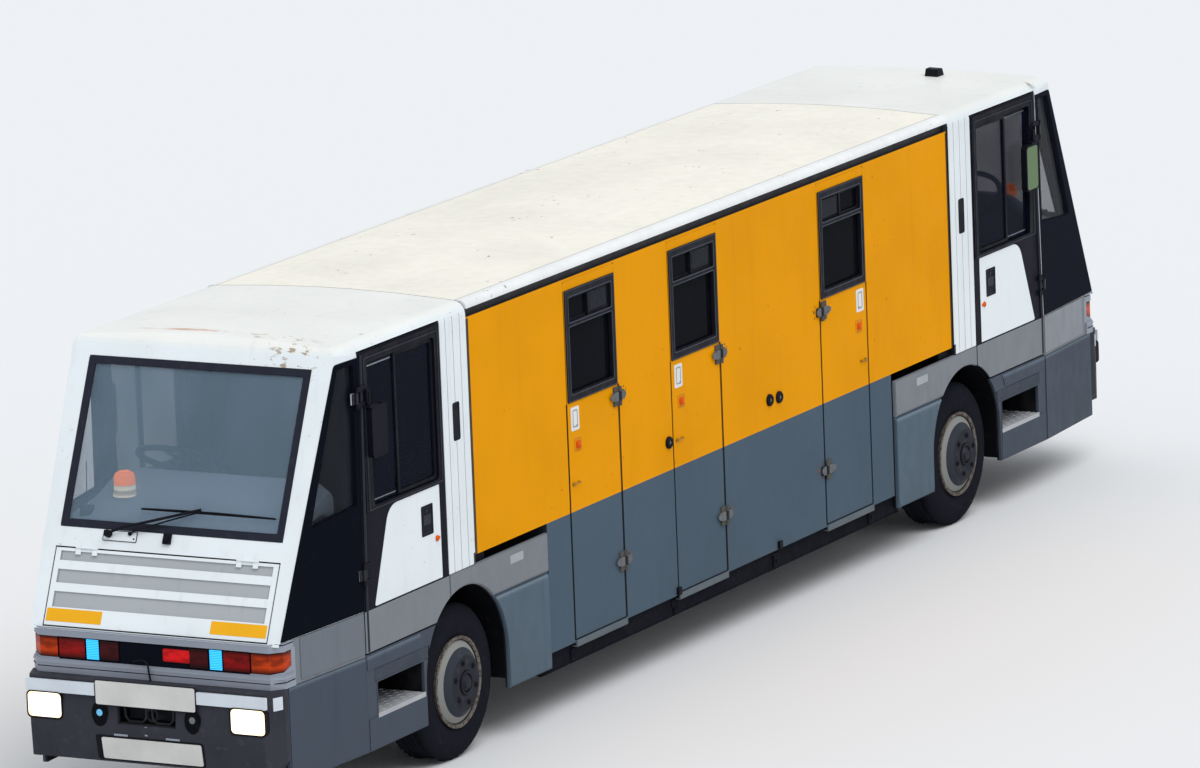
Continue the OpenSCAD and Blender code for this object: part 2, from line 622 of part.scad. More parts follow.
module pod_benches() {
    // each bench: place of its back along X, side it faces, and height of what it stands on
    color("#33465e") for (b = [[590, 1, pod_z + pod_floor_t], [-590, -1, pod_z + pod_floor_t],
                               [pod_half_l - pod_t - 110, -1, pod_deck_z + deck_t],
                               [110 + pod_t - pod_half_l, 1, pod_deck_z + deck_t]])
        translate([b[0], 0, b[2]]) scale([b[1], 1, 1]) slab(rounded([[0, 0, 0], [400, 0, 0], [440, 420, 30],
            [90, 400, 20], [10, 940, 30], [-80, 940, 30]]), -520, 520);
}

// Low frame: side rails under the pod, kicked up and inwards over the axles
rail_y = half_w - 34;
rail_w = 70;
rail_z0 = 249;
rail_z1 = pod_z;
end_rail_y = 230;
end_rail_w = 60;
spring_z = tyre_r + 40;
leaf_t = 10;
spring_l = 480;
spring_w = 52;
end_rail_z0 = spring_z + 42;
end_rail_z1 = end_rail_z0 + 140;
bracket_y0 = end_rail_y + end_rail_w / 2;
kick_x0 = pod_low_x + 6;
kick_x1 = kick_x0 + 70;
module chassis() {
    color(black) {
        both_sides() block([-kick_x1, rail_y - rail_w, rail_z0], [kick_x1, rail_y, rail_z1]);
        // cross members
        for (x = [-1200, -400, 400, 1200])
            block([x - 40, -rail_y + 10, rail_z0 + 4], [x + 40, rail_y - 10, rail_z1 - 6]);
        both_ends() {
            block([kick_x0, -rail_y, rail_z0], [kick_x1, rail_y, rail_z1]);
            block([kick_x0, -end_rail_y - 60, rail_z0], [kick_x1, end_rail_y + 60, end_rail_z1]);
        }
    }
}
module chassis_end() {
    color(black) {
        both_sides() block([kick_x1 + seat, end_rail_y - end_rail_w / 2, end_rail_z0],
            [nose_x - 60, end_rail_y + end_rail_w / 2, end_rail_z1]);
        block([nose_x - 120, -half_w + 130, end_rail_z0 + 20], [nose_x - 44, half_w - 130, end_rail_z1]);
        block([platform_x + 20, -end_rail_y, end_rail_z0 + 10], [platform_x + 80, end_rail_y, end_rail_z1 - 10]);
        // bearers under the cab floor and the raised platform
        both_sides() for (x = [platform_x + 60, nose_x - 260])
            block([x - 30, end_rail_y - 30, end_rail_z1 - 1], [x + 30, half_w - 80, cab_floor_z - floor_t]);
        both_sides() block([door_rear_x - 60, end_rail_y - 30, end_rail_z1 - 1],
            [door_rear_x, end_rail_y + 30, platform_z - floor_t]);
    }
}
engine_half_w = end_rail_y - end_rail_w / 2 - seat;
module engine_block() {
    color("dimgray") block([platform_x + 90, -engine_half_w, 290], [nose_x - 130, engine_half_w, 600]);
}

// Outline of a spring's three leaves, each half a quarter shorter than the one above it
function leaf_point(i, z) = [spring_l * i / 8, z + 6 * pow(i / 8, 2)];
function leaf_pack() = concat([for (i = [-8:8]) leaf_point(i, 3 * leaf_t)],
    [for (i = [8:-1:6]) leaf_point(i, 2 * leaf_t)], [for (i = [6:-1:4]) leaf_point(i, leaf_t)],
    [for (i = [4:-1:-4]) leaf_point(i, 0)],
    [for (i = [-4:-1:-6]) leaf_point(i, leaf_t)], [for (i = [-6:-1:-8]) leaf_point(i, 2 * leaf_t)]);
// Leaf spring clamped on the axle beam, hung from the end rail by its two eyes
module leaf_spring() {
    half = spring_w / 2;
    top = 3 * leaf_t;
    translate([wheel_x, end_rail_y, spring_z]) {
        slab(leaf_pack(), -half, half);
        block([-46, -half - 7, top - 1], [46, half + 7, top + 5]);
        block([-46, -half - 7, -8], [46, half + 7, 2]);
        for (y = [-half - 7, half - 1])
            block([-46, y, -20], [46, y + 8, top + 5]);
        for (x = [-spring_l, spring_l]) {
            translate([x, -half - 2, top - 8]) rotate([-90, 0, 0]) cylinder(r = 13, h = spring_w + 4);
            block([x - 9, -half, top - 8], [x + 9, half, end_rail_z0 - spring_z]);
        }
    }
}

// Axle beam with its eyes for the kingpins, and the leaf springs
kingpin_y = tyre_out_y - tyre_w / 2 - 22;
eye_h = 90;
eye_r = 2 * spindle_r - 8;
pin_r = spindle_r - 8;
module axles() {
    color(black) both_ends() {
        difference() {
            union() {
                translate([wheel_x, 0, tyre_r]) rotate([90, 0, 0])
                    cylinder(r = 38, h = 2 * (kingpin_y - eye_r + 6), center = true);
                both_sides() translate([wheel_x, kingpin_y, tyre_r - eye_h / 2]) cylinder(r = eye_r, h = eye_h);
            }
            both_sides() translate([wheel_x, kingpin_y, tyre_r - eye_h / 2 - 1])
                cylinder(r = pin_r + fit, h = eye_h + 2);
        }
        both_sides() leaf_spring();
    }
}
module knuckle() {
    color("dimgray") translate([wheel_x, kingpin_y, tyre_r]) {
        cylinder(r = pin_r, h = eye_h + 40, center = true);
        for (s = [-1, 1]) {
            translate([0, 0, s * (eye_h / 2 + 11)]) cylinder(r = eye_r - 4, h = 18, center = true);
            translate([0, eye_r / 2 + 14, s * (eye_h / 2 + 11)]) cube([44, eye_r + 10, 18], center = true);
        }
        translate([-22, eye_r + 6, -eye_h / 2 - 20]) cube([44, 20, eye_h + 40]);
        translate([0, eye_r + 6, 0]) rotate([-90, 0, 0])
            cylinder(r = spindle_r, h = tyre_out_y - 12 - kingpin_y - eye_r - 6);
        // steering arm
        block([-150, -14, -eye_h / 2 - 20], [10, 14, -eye_h / 2 - 4]);
    }
}
hub_y0 = kingpin_y + eye_r + 34;
module rim() {
    out_y = tyre_out_y + 4;
    in_y = tyre_out_y - tyre_w - 4;
    // profile: radius from the wheel's axis, distance from the middle
    color("darkgray") translate([wheel_x, 0, tyre_r]) rotate([-90, 0, 0]) rotate_extrude($fn = 96) polygon([
        [spindle_r + fit, hub_y0], [70, hub_y0], [78, hub_y0 + 22], [150, hub_y0 + 16],
        [rim_r - 38, in_y + 90], [rim_r - 24, in_y + 40], [rim_r - 24, in_y + 12], [rim_r - 12, in_y],
        [rim_r, in_y], [rim_r, in_y + 6], [rim_r - 14, in_y + 14], [rim_r - 14, in_y + 60],
        [rim_r - 30, in_y + 90], [rim_r - 30, out_y - 62], [rim_r - 14, out_y - 50], [rim_r - 14, out_y - 14],
        [rim_r, out_y - 6], [rim_r, out_y], [rim_r - 12, out_y], [rim_r - 24, out_y - 12],
        [rim_r - 40, out_y - 50], [150, out_y - 14], [96, out_y + 6], [60, out_y + 10],
        [56, out_y + 30], [0, out_y + 34], [0, out_y - 10], [spindle_r + fit, out_y - 10]]);
}
module tyre() {
    in_y = tyre_out_y - tyre_w;
    mid_y = tyre_out_y - tyre_w / 2;
    // half profile: radius, distance from the tyre's middle, rounding
    half = [[rim_r - 14, tyre_w / 2 - 12, 0], [rim_r + 14, tyre_w / 2 - 6, 10], [rim_r + 76, tyre_w / 2, 50],
        [tyre_r - 14, tyre_w / 2 - 22, 22], [tyre_r, tyre_w / 2 - 38, 10]];
    outline = rounded([for (p = half) [p[0], mid_y + p[1], p[2]],
        for (i = [4:-1:0]) [half[i][0], mid_y - half[i][1], half[i][2]]]);
    color("#202226") translate([wheel_x, 0, tyre_r]) rotate([-90, 0, 0]) rotate_extrude($fn = 96) polygon(outline);
}

chassis();
chassis_end();  // chassis_front
turned() chassis_end();  // chassis_rear
engine_block();
axles();
knuckle();  // knuckle_front_left
other_side() knuckle();  // knuckle_front_right
turned() other_side() knuckle();  // knuckle_rear_left
turned() knuckle();  // knuckle_rear_right
rim();  // rim_front_left
other_side() rim();  // rim_front_right
turned() other_side() rim();  // rim_rear_left
turned() rim();  // rim_rear_right
tyre();  // tyre_front_left
other_side() tyre();  // tyre_front_right
turned() other_side() tyre();  // tyre_rear_left
turned() tyre();  // tyre_rear_right
cab_shell();  // cab_shell_front
turned() cab_shell();  // cab_shell_rear
skirts();  // skirts_front
turned() skirts();  // skirts_rear
bumper();  // bumper_front
turned() bumper();  // bumper_rear
lamp_housings();
lamp_lenses();
flap();  // flap_front
turned() flap();  // flap_rear
cab_glass();
roof_box();
wipers();
dashboards();
steering_wheels();
cab_seats();
cab_door();  // cab_door_front_left
other_side() cab_door();  // cab_door_front_right
turned() other_side() cab_door();  // cab_door_rear_left
turned() cab_door();  // cab_door_rear_right
cab_pane();  // cab_pane_front_left
other_side() cab_pane();  // cab_pane_front_right
turned() other_side() cab_pane();  // cab_pane_rear_left
turned() cab_pane();  // cab_pane_rear_right
pod_sides();
pod_floor();
pod_hinges();
pod_roof();
pod_benches();
pod_door(pod_doors[0]);  // pod_door_left_1
pod_door(pod_doors[1]);  // pod_door_left_2
pod_door(pod_doors[2]);  // pod_door_left_3
turned() pod_door(pod_doors[0]);  // pod_door_right_1
turned() pod_door(pod_doors[1]);  // pod_door_right_2
turned() pod_door(pod_doors[2]);  // pod_door_right_3
pod_pane(pod_doors[0]);  // pod_pane_left_1
pod_pane(pod_doors[1]);  // pod_pane_left_2
pod_pane(pod_doors[2]);  // pod_pane_left_3
turned() pod_pane(pod_doors[0]);  // pod_pane_right_1
turned() pod_pane(pod_doors[1]);  // pod_pane_right_2
turned() pod_pane(pod_doors[2]);  // pod_pane_right_3
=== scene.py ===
"""Looks of a double-ended service tunnel vehicle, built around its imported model.

Lengths are in millimetres up to the point where a piece is made. X is forward, Y is left, Z is up.
The rear cab is the front cab turned half a turn, so a shape is drawn once, for the front left, and
then put in its places.
"""
import math

import bmesh
import bpy
from mathutils import Matrix, Vector
from mathutils.geometry import tessellate_polygon


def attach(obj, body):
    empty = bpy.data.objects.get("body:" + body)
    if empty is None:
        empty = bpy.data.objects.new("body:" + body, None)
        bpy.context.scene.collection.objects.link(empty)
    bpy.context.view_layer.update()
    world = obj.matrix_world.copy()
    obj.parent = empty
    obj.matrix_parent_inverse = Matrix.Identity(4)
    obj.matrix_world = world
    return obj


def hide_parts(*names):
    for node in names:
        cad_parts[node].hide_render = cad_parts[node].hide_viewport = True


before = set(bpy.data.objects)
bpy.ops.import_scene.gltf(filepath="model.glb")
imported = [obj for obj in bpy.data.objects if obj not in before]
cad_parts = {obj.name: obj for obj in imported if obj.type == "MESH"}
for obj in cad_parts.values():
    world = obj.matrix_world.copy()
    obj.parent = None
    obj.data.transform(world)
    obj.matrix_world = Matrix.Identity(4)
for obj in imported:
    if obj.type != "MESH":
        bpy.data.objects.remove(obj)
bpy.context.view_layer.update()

# Main dimensions, as in the part's source
HALF_W = 692
POD_HALF_W = 682
POD_HALF_L = 2532
DOOR_REAR_X = 2790
DOOR_FRONT_X = 3590
NOSE_X = 4284
NOSE_HALF_W = 648
BELT_Z = 910
BROW_Z = 2085
NOSE_LEAN = 530
LEAN = math.atan(NOSE_LEAN / (BROW_Z - BELT_Z))
TAPER = math.atan((HALF_W - NOSE_HALF_W) / (NOSE_X - DOOR_FRONT_X))
WHEEL_X = 2650
TYRE_R = 368
AXLE_Z = TYRE_R
ARCH_Z = 437
ARCH_R = 392
SCREEN_LOW = 460
SCREEN_HIGH = 1258
SCREEN_HALF_W = 581
BUMPER_X = NOSE_X + 106
LAMP_Z = 762
LAMP_H = 106
BAND_Z = 714


def face_x(z):
    """How far forward the sloping nose is at height z."""
    return NOSE_X - (z - BELT_Z) * math.tan(LEAN)


# Places: where a shape drawn for the front left goes
HERE = Matrix.Identity(4)
TURN = Matrix.Rotation(math.pi, 4, "Z")
OTHER = Matrix.Scale(-1, 4, (0, 1, 0))
ENDS = [HERE, TURN]
SIDES = [HERE, OTHER]
LEFT = [HERE, TURN @ OTHER]
CORNERS = [HERE, OTHER, TURN, TURN @ OTHER]
CORNER_NAMES = {"front_left": HERE, "front_right": OTHER, "rear_left": TURN @ OTHER, "rear_right": TURN}


def plane(a, b, c):
    """A frame whose first, second and third directions are a, b and c."""
    return Matrix((a, b, c)).transposed().to_4x4()


def shift(x, y, z):
    return Matrix.Translation((x, y, z))


# On a flat front: across, up, and then forward from the middle of the vehicle, or from the bumper's face
FRONT = plane((0, 1, 0), (0, 0, 1), (1, 0, 0))
BUMPER = shift(BUMPER_X, 0, 0) @ FRONT
# On the nose: across, up the slope, and out of the face
NOSE = shift(NOSE_X, 0, BELT_Z) @ Matrix.Rotation(-LEAN, 4, "Y") @ FRONT
# On a side: forward, up, and out from the middle of the vehicle, from a cab's side or from the pod's
SIDE = plane((1, 0, 0), (0, 0, 1), (0, 1, 0))
CAB = shift(0, HALF_W, 0) @ SIDE
POD = shift(0, POD_HALF_W, 0) @ SIDE
# On the tapered side next to the nose: forward from the cab door's edge, up, and out of the face
QUARTER = shift(DOOR_FRONT_X, HALF_W, 0) @ Matrix.Rotation(-TAPER, 4, "Z") @ SIDE
# On a wheel and on its arch: forward and up from the centre, and out from the middle of the vehicle
WHEEL = shift(WHEEL_X, 0, AXLE_Z) @ SIDE
ARCH = shift(WHEEL_X, 0, ARCH_Z) @ SIDE


def rounded(corners, steps=6):
    """An outline from a list of corners, each (a, b, radius)."""
    points = []
    for i, (a, b, radius) in enumerate(corners):
        here = Vector((a, b))
        if radius <= 0:
            points.append(here)
            continue
        u = (Vector(corners[i - 1][:2]) - here).normalized()
        v = (Vector(corners[(i + 1) % len(corners)][:2]) - here).normalized()
        half = u.angle(v) / 2
        centre = here + (u + v).normalized() * radius / math.sin(half)
        p = here + u * radius / math.tan(half) - centre
        q = here + v * radius / math.tan(half) - centre
        turn = math.atan2(p.x * q.y - p.y * q.x, p.dot(q))
        for k in range(steps + 1):
            points.append(centre + Matrix.Rotation(turn * k / steps, 2) @ p)
    return points


def rectangle(a0, b0, a1, b1, radius):
    return rounded([(a0, b0, radius), (a1, b0, radius), (a1, b1, radius), (a0, b1, radius)], 5)


def hollow(a0, b0, a1, b1, width, radius, hole_radius):
    """A rectangle and the hole in it that leaves a rim of this width."""
    return [rectangle(a0, b0, a1, b1, radius),
            rectangle(a0 + width, b0 + width, a1 - width, b1 - width, hole_radius)]


def leaning(a0, b0, a1, b1, slant, radius, top_radius):
    """A four-sided outline whose forward edge leans forward by slant."""
    return rounded([(a0, b0, radius), (a1, b0, radius), (a1 + slant, b1, top_radius), (a0, b1, top_radius)])


def around(steps, share=1.0):
    """Angles from nought, evenly over a share of a turn."""
    return [2 * math.pi * share * k / steps for k in range(steps)]


def circle(a, b, radius, steps=24):
    return [(a + radius * math.cos(t), b + radius * math.sin(t)) for t in around(steps)]


class Shape:
    """Vertices and faces, added form by form."""

    def __init__(self):
        self.verts = []
        self.faces = []

    def add(self, verts, faces, place=HERE):
        first = len(self.verts)
        self.verts += [place @ Vector(v) for v in verts]
        self.faces += [[first + i for i in face] for face in faces]
        return self

    def block(self, low, high, place=HERE):
        verts = [(x, y, z) for x in (low[0], high[0]) for y in (low[1], high[1]) for z in (low[2], high[2])]
        faces = [(0, 1, 3, 2), (4, 6, 7, 5), (0, 4, 5, 1), (2, 3, 7, 6), (0, 2, 6, 4), (1, 5, 7, 3)]
        return self.add(verts, faces, place)

    def plate(self, outlines, low, high, place=HERE):
        """A flat plate: its outline, or a list of it and the outlines of its holes, from low to high."""
        if not hasattr(outlines[0][0], "__len__"):
            outlines = [outlines]
        outlines = [[Vector((*p, 0)) for p in outline] for outline in outlines]
        flat = [p for outline in outlines for p in outline]
        n = len(flat)
        triangles = tessellate_polygon(outlines)
        verts = [(p.x, p.y, height) for height in (low, high) for p in flat]
        faces = [list(t) for t in triangles] + [[i + n for i in reversed(t)] for t in triangles]
        start = 0
        for outline in outlines:
            for i in range(len(outline)):
                a, b = start + i, start + (i + 1) % len(outline)
                faces.append((a, b, n + b, n + a))
            start += len(outline)
        return self.add(verts, faces, place)

    def loft(self, rings, closed=False, place=HERE):
        """A skin through rings of the same number of points, with its ends filled unless closed."""
        k = len(rings[0])
        verts = [v for ring in rings for v in ring]
        faces = []
        for j in range(len(rings) if closed else len(rings) - 1):
            a, b = j * k, (j + 1) % len(rings) * k
            faces += [(a + i, a + (i + 1) % k, b + (i + 1) % k, b + i) for i in range(k)]
        if not closed:
            faces += [tuple(reversed(range(k))), tuple(range((len(rings) - 1) * k, len(rings) * k))]
        return self.add(verts, faces, place)

    def tube(self, points, radius, sides=10, place=HERE):
        points = [place @ Vector(p) for p in points]
        rings = []
        side = None
        for i, p in enumerate(points):
            ahead = (points[min(i + 1, len(points) - 1)] - points[max(i - 1, 0)]).normalized()
            if side is None:
                side = ahead.orthogonal().normalized()
            side = (side - ahead * side.dot(ahead)).normalized()
            up = ahead.cross(side)
            rings.append([p + (side * math.cos(t) + up * math.sin(t)) * radius for t in around(sides)])
        return self.loft(rings)

    def lathe(self, profile, place=HERE, steps=32):
        """A solid of revolution about the third direction, from (radius, height) points."""
        rings = [[(r * math.cos(t), r * math.sin(t), h) for r, h in profile] for t in around(steps)]
        return self.loft(rings, True, place)

    def dome(self, a, b, low, radius, height, place):
        """A button that is round at its edge, standing on low."""
        profile = [(0.01, low), (radius, low)]
        profile += [(radius * math.cos(t), low + height * (0.35 + 0.65 * math.sin(t)))
                    for t in around(5, 0.25)]
        profile += [(0.01, low + height)]
        return self.lathe(profile, place @ shift(a, b, 0), 20)

    def wrap(self, path, depth):
        """A strip round the front corner: path of (x, y, low, high), its thickness depth inwards."""
        rings = []
        for k, (x, y, low, high) in enumerate(path):
            a, b = path[max(k - 1, 0)], path[min(k + 1, len(path) - 1)]
            inwards = Vector((-(b[1] - a[1]), b[0] - a[0])).normalized() * depth
            if inwards.x > 0.01:
                inwards = -inwards
            u, v = x + inwards.x, y + inwards.y
            rings.append([(x, y, low), (x, y, high), (u, v, high), (u, v, low)])
        return self.loft(rings)


def put(name, data):
    """Puts a mesh, lamp or camera into the scene."""
    obj = bpy.data.objects.new(name, data)
    bpy.context.scene.collection.objects.link(obj)
    return obj


def put_smooth(name, bm, material):
    """Makes a smooth object of one material from a finished bmesh."""
    mesh = bpy.data.meshes.new(name)
    bm.to_mesh(mesh)
    bm.free()
    mesh.materials.append(material)
    mesh.polygons.foreach_set("use_smooth", [True] * len(mesh.polygons))
    return put(name, mesh)


def piece(name, shape, material, bevel=0.0, places=(HERE,), segments=2, smooth=35, body="body"):
    """Makes an object of the shape in each of its places, in metres, riding on a body."""
    bm = bmesh.new()
    for place in places:
        verts = [bm.verts.new((place @ v) * 0.001) for v in shape.verts]
        for face in shape.faces:
            bm.faces.new([verts[i] for i in face])
    bmesh.ops.remove_doubles(bm, verts=bm.verts, dist=0.00002)
    bmesh.ops.recalc_face_normals(bm, faces=bm.faces)
    obj = put_smooth(name, bm, material)
    obj.data.set_sharp_from_angle(angle=math.radians(smooth))
    if bevel:
        m = obj.modifiers.new("edges", "BEVEL")
        m.width = bevel * 0.001
        m.segments = segments
        m.limit_method = "ANGLE"
        m.angle_limit = math.radians(32)
        m.harden_normals = True
    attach(obj, body)
    return obj


def dress(body, place, parts):
    """Makes the pieces of one door, each given by its shape, material, slot and bevel."""
    for name, (shape, material, slot, bevel) in parts.items():
        piece(body + "_" + name, shape, material, bevel, [place], body=body)


# Materials
def srgb(r, g, b):
    """A colour given as it looks, 0 to 255, as the linear colour a shader takes."""
    def linear(c):
        c /= 255
        return c / 12.92 if c <= 0.04045 else ((c + 0.055) / 1.055) ** 2.4
    return (linear(r), linear(g), linear(b), 1.0)


class Value:
    """A number or colour that nodes work out. Sums and products of it make more nodes."""

    def __init__(self, surface, socket):
        self.surface = surface
        self.socket = socket

    def __add__(self, other):
        return self.surface.math("ADD", self, other)

    def __sub__(self, other):
        return self.surface.math("SUBTRACT", self, other)

    def __rsub__(self, other):
        return self.surface.math("SUBTRACT", other, self)

    def __mul__(self, other):
        return self.surface.math("MULTIPLY", self, other)

    def __abs__(self):
        return self.surface.math("ABSOLUTE", self)

    def ramp(self, low, high, to_low=0.0, to_high=1.0):
        """Goes smoothly from to_low to to_high while this number goes from low to high."""
        return self.surface.node("ShaderNodeMapRange", {0: self, 1: low, 2: high, 3: to_low, 4: to_high},
                                 interpolation_type="SMOOTHSTEP")

    def fall(self, low, high):
        return self.ramp(low, high, 1.0, 0.0)


class Surface:
    """A node material that is put together one line at a time."""

    def __init__(self, name, rough, metal=0.0, gloss=0.5):
        self.material = bpy.data.materials.new(name)
        self.material.use_nodes = True
        self.nodes = self.material.node_tree.nodes
        self.links = self.material.node_tree.links
        self.shader = self.nodes["Principled BSDF"]
        self.set("Roughness", rough)
        self.set("Metallic", metal)
        self.set("Specular IOR Level", gloss)
        self.place = self.node("ShaderNodeTexCoord", {}, "Object")
        split = self.node("ShaderNodeSeparateXYZ", {0: self.place}).socket.node
        self.x, self.y, self.z = [Value(self, socket) for socket in split.outputs]

    def feed(self, socket, value):
        """Gives an input its number or colour, or links it to the nodes that work it out."""
        if isinstance(value, Value):
            self.links.new(value.socket, socket)
        else:
            socket.default_value = value

    def set(self, name, value):
        """Sets an input of the shader. The value may be a function of the surface."""
        self.feed(self.shader.inputs[name], value(self) if callable(value) else value)

    def node(self, kind, inputs, output=0, **settings):
        node = self.nodes.new(kind)
        for key, value in settings.items():
            setattr(node, key, value)
        for key, value in inputs.items():
            self.feed(node.inputs[key], value)
        return Value(self, node.outputs[output])

    def math(self, operation, a, b=0.0):
        return self.node("ShaderNodeMath", {0: a, 1: b}, operation=operation)

    def distance(self, a, b):
        return self.math("SQRT", a * a + b * b)

    def mix(self, factor, a, b, blend="MIX"):
        return self.node("ShaderNodeMix", {0: factor, 6: a, 7: b}, 2, data_type="RGBA", blend_type=blend)

    def shade(self, factor, base, grey):
        """Darkens base towards a multiple of itself."""
        return self.mix(factor, base, (grey, grey, grey, 1), "MULTIPLY")

    def noise(self, scale, stretch=(1, 1, 1), detail=3, shift=0.0):
        moved = self.node("ShaderNodeMapping", {"Vector": self.place, "Scale": stretch,
                                                "Location": (shift, shift * 0.7, shift * 1.3)})
        return self.node("ShaderNodeTexNoise", {"Vector": moved, "Scale": scale, "Detail": detail})

    def spot(self, centre, size):
        """A patch with a ragged edge: 1 within size of centre, 0 beyond it."""
        moved = self.node("ShaderNodeMapping", {
            "Vector": self.place, "Scale": [1 / a for a in size],
            "Location": [-c / a for c, a in zip(centre, size)]})
        away = self.node("ShaderNodeVectorMath", {0: moved}, 1, operation="LENGTH")
        return (away + self.noise(30.0, (1, 0.5, 1), 4) * 1.2).fall(1.0, 1.7)

    def bump(self, height, strength, distance):
        self.set("Normal", self.node("ShaderNodeBump", {"Strength": strength, "Distance": distance,
                                                        "Height": height}))


def paint(name, colour, rough, grime, streaks, shift=0.0, low=0.25, high=1.1, chips=0.0, gloss=0.35):
    """Painted metal or moulding: colour may be a function of the surface. Dirt gathers near the ground."""
    s = Surface(name, rough, gloss=gloss)
    base = colour(s) if callable(colour) else colour
    base = s.shade(s.noise(1.7, detail=4, shift=shift).ramp(0.35, 0.7, 0.0, 0.45), base, 0.84)
    runs = s.noise(9, (2.2, 2.2, 0.16), 4, shift + 3)
    base = s.shade(runs.ramp(0.54, 0.78, 0.0, 0.8 * streaks), base, 0.66)
    dust = s.noise(14, (1, 1, 0.6), 5, shift + 7)
    dusty = dust.ramp(0.3, 0.75) * s.z.fall(low, high)
    base = s.mix(dusty * (0.22 * grime), base, srgb(92, 88, 80))
    specks = s.noise(120, detail=2, shift=shift)
    base = s.shade(specks.ramp(0.70, 0.76, 0.0, 0.6 * grime), base, 0.5)
    if chips:
        spots = s.noise(34, detail=5, shift=shift + 11).ramp(0.66, 0.70)
        spots *= s.noise(3.1, detail=1, shift=shift).ramp(0.55, 0.62)
        base = s.mix(spots * chips, base, srgb(92, 58, 36))
    s.set("Base Color", base)
    s.set("Roughness", dust.ramp(0.2, 0.8, rough - 0.07, rough + 0.16))
    s.bump(s.noise(260, detail=1), 0.05, 0.0006)
    return s.material


def plain(name, colour, rough=0.5, metal=0.0, texture=70, depth=0.12, wear=0.10, gloss=0.3):
    """Plastic, rubber or bare metal with a slight texture and uneven shade."""
    s = Surface(name, rough, metal, gloss)
    base = colour(s) if callable(colour) else colour
    base = s.shade(s.noise(6, detail=4).ramp(0.35, 0.75, 0.0, 3 * wear), base, 0.6)
    rubbed = s.noise(23, detail=5, shift=4).ramp(0.55, 0.8, 0.0, wear)
    s.set("Base Color", s.mix(rubbed, base, srgb(120, 116, 108)))
    s.set("Roughness", s.noise(18).ramp(0.3, 0.7, max(0.03, rough - 0.08), min(1, rough + 0.1)))
    s.bump(s.noise(texture * 4), depth, 0.0005)
    return s.material


def glowing(name, colour, light, strength, ribs, direction, middle=0.0):
    """A lamp's moulded cover: ribbed, coloured through and a little lit, with painted shade away from its
    middle.
    """
    s = Surface(name, 0.22, gloss=0.10)
    wave = s.node("ShaderNodeTexWave", {"Vector": s.place, "Scale": ribs, "Distortion": 0.25}, 1,
                  bands_direction=direction)
    lines = wave.ramp(0.15, 0.9)
    base = s.shade(0.75 - lines * 0.75, colour, 0.35)
    lit = lines.ramp(0.0, 1.0, 0.45, 1.0) * strength
    if middle:
        # Painted shade: darker and less lit towards the lens's top and bottom edges, where the trim above
        # shades it, with patchy dark mottling
        edge = abs(s.z - middle).ramp(0.012, 0.044)
        dark = s.math("MAXIMUM", edge, s.noise(16, (1, 1, 2), 4).ramp(0.35, 0.7, 0.0, 0.75))
        base = s.shade(dark, base, 0.22)
        lit = lit * (1.0 - dark * 0.9)
    s.set("Base Color", base)
    s.bump(lines, 0.5, 0.0012)
    s.set("Emission Color", light)
    s.set("Emission Strength", lit)
    return s.material


def glass(name, tint, opacity, gloss):
    """Flat glass with a patchy film, dirt and, where the tint is pale, a painted reflection; tint may be a
    function of the surface.
    """
    s = Surface(name, 0.03, gloss=gloss)
    s.set("Base Color", tint)
    s.set("Alpha", s.noise(3, (1, 1, 0.5), 4).ramp(0.3, 0.8, opacity, opacity + 0.10))
    s.material.surface_render_method = "DITHERED"
    return s.material


YELLOW = srgb(228, 151, 0)
BLUE_GREY = srgb(76, 92, 106)
SLATE = srgb(66, 75, 88)
SILVER = srgb(120, 125, 131)
WHITE = srgb(224, 231, 234)
CREAM = srgb(238, 234, 222)
BLACK = srgb(20, 21, 30)
LINING = srgb(50, 53, 58)


# Measures on a surface, in metres: forward, up, out from the middle, and three that follow the body
def ahead(s):
    return s.x


def height(s):
    return s.z


def sideways(s):
    return abs(s.y)


def out_of_side(s):
    """Out from the middle, as if the cab's side ran straight on to the nose."""
    past_door = s.math("MAXIMUM", abs(s.x) - DOOR_FRONT_X / 1000, 0.0)
    return abs(s.y) + past_door * math.tan(TAPER)


def out_of_slope(s):
    """Out from the plane of the sloping nose."""
    return (abs(s.x) - NOSE_X / 1000) * math.cos(LEAN) + (s.z - BELT_Z / 1000) * math.sin(LEAN)


def from_axle(s):
    """Away from the wheel's axis."""
    return s.distance(abs(s.x) - WHEEL_X / 1000, s.z - AXLE_Z / 1000)


def two_tone(measure, low, high, first, second, most=1.0):
    """A colour function: first where the measure is under low, second, up to most, where it is over high."""
    return lambda s: s.mix(measure(s).ramp(low, high, 0.0, most), first, second)


def pod_colour(s):
    """Yellow above the deck line, blue-grey below it, steel hinges outside and dark lining inside."""
    base = s.mix(s.z.ramp(0.9460, 0.9468), BLUE_GREY, YELLOW)
    base = s.mix(abs(s.y).ramp(0.6826, 0.6832), base, srgb(84, 83, 80))
    return s.mix(abs(s.y).ramp(0.679, 0.681), LINING, base)


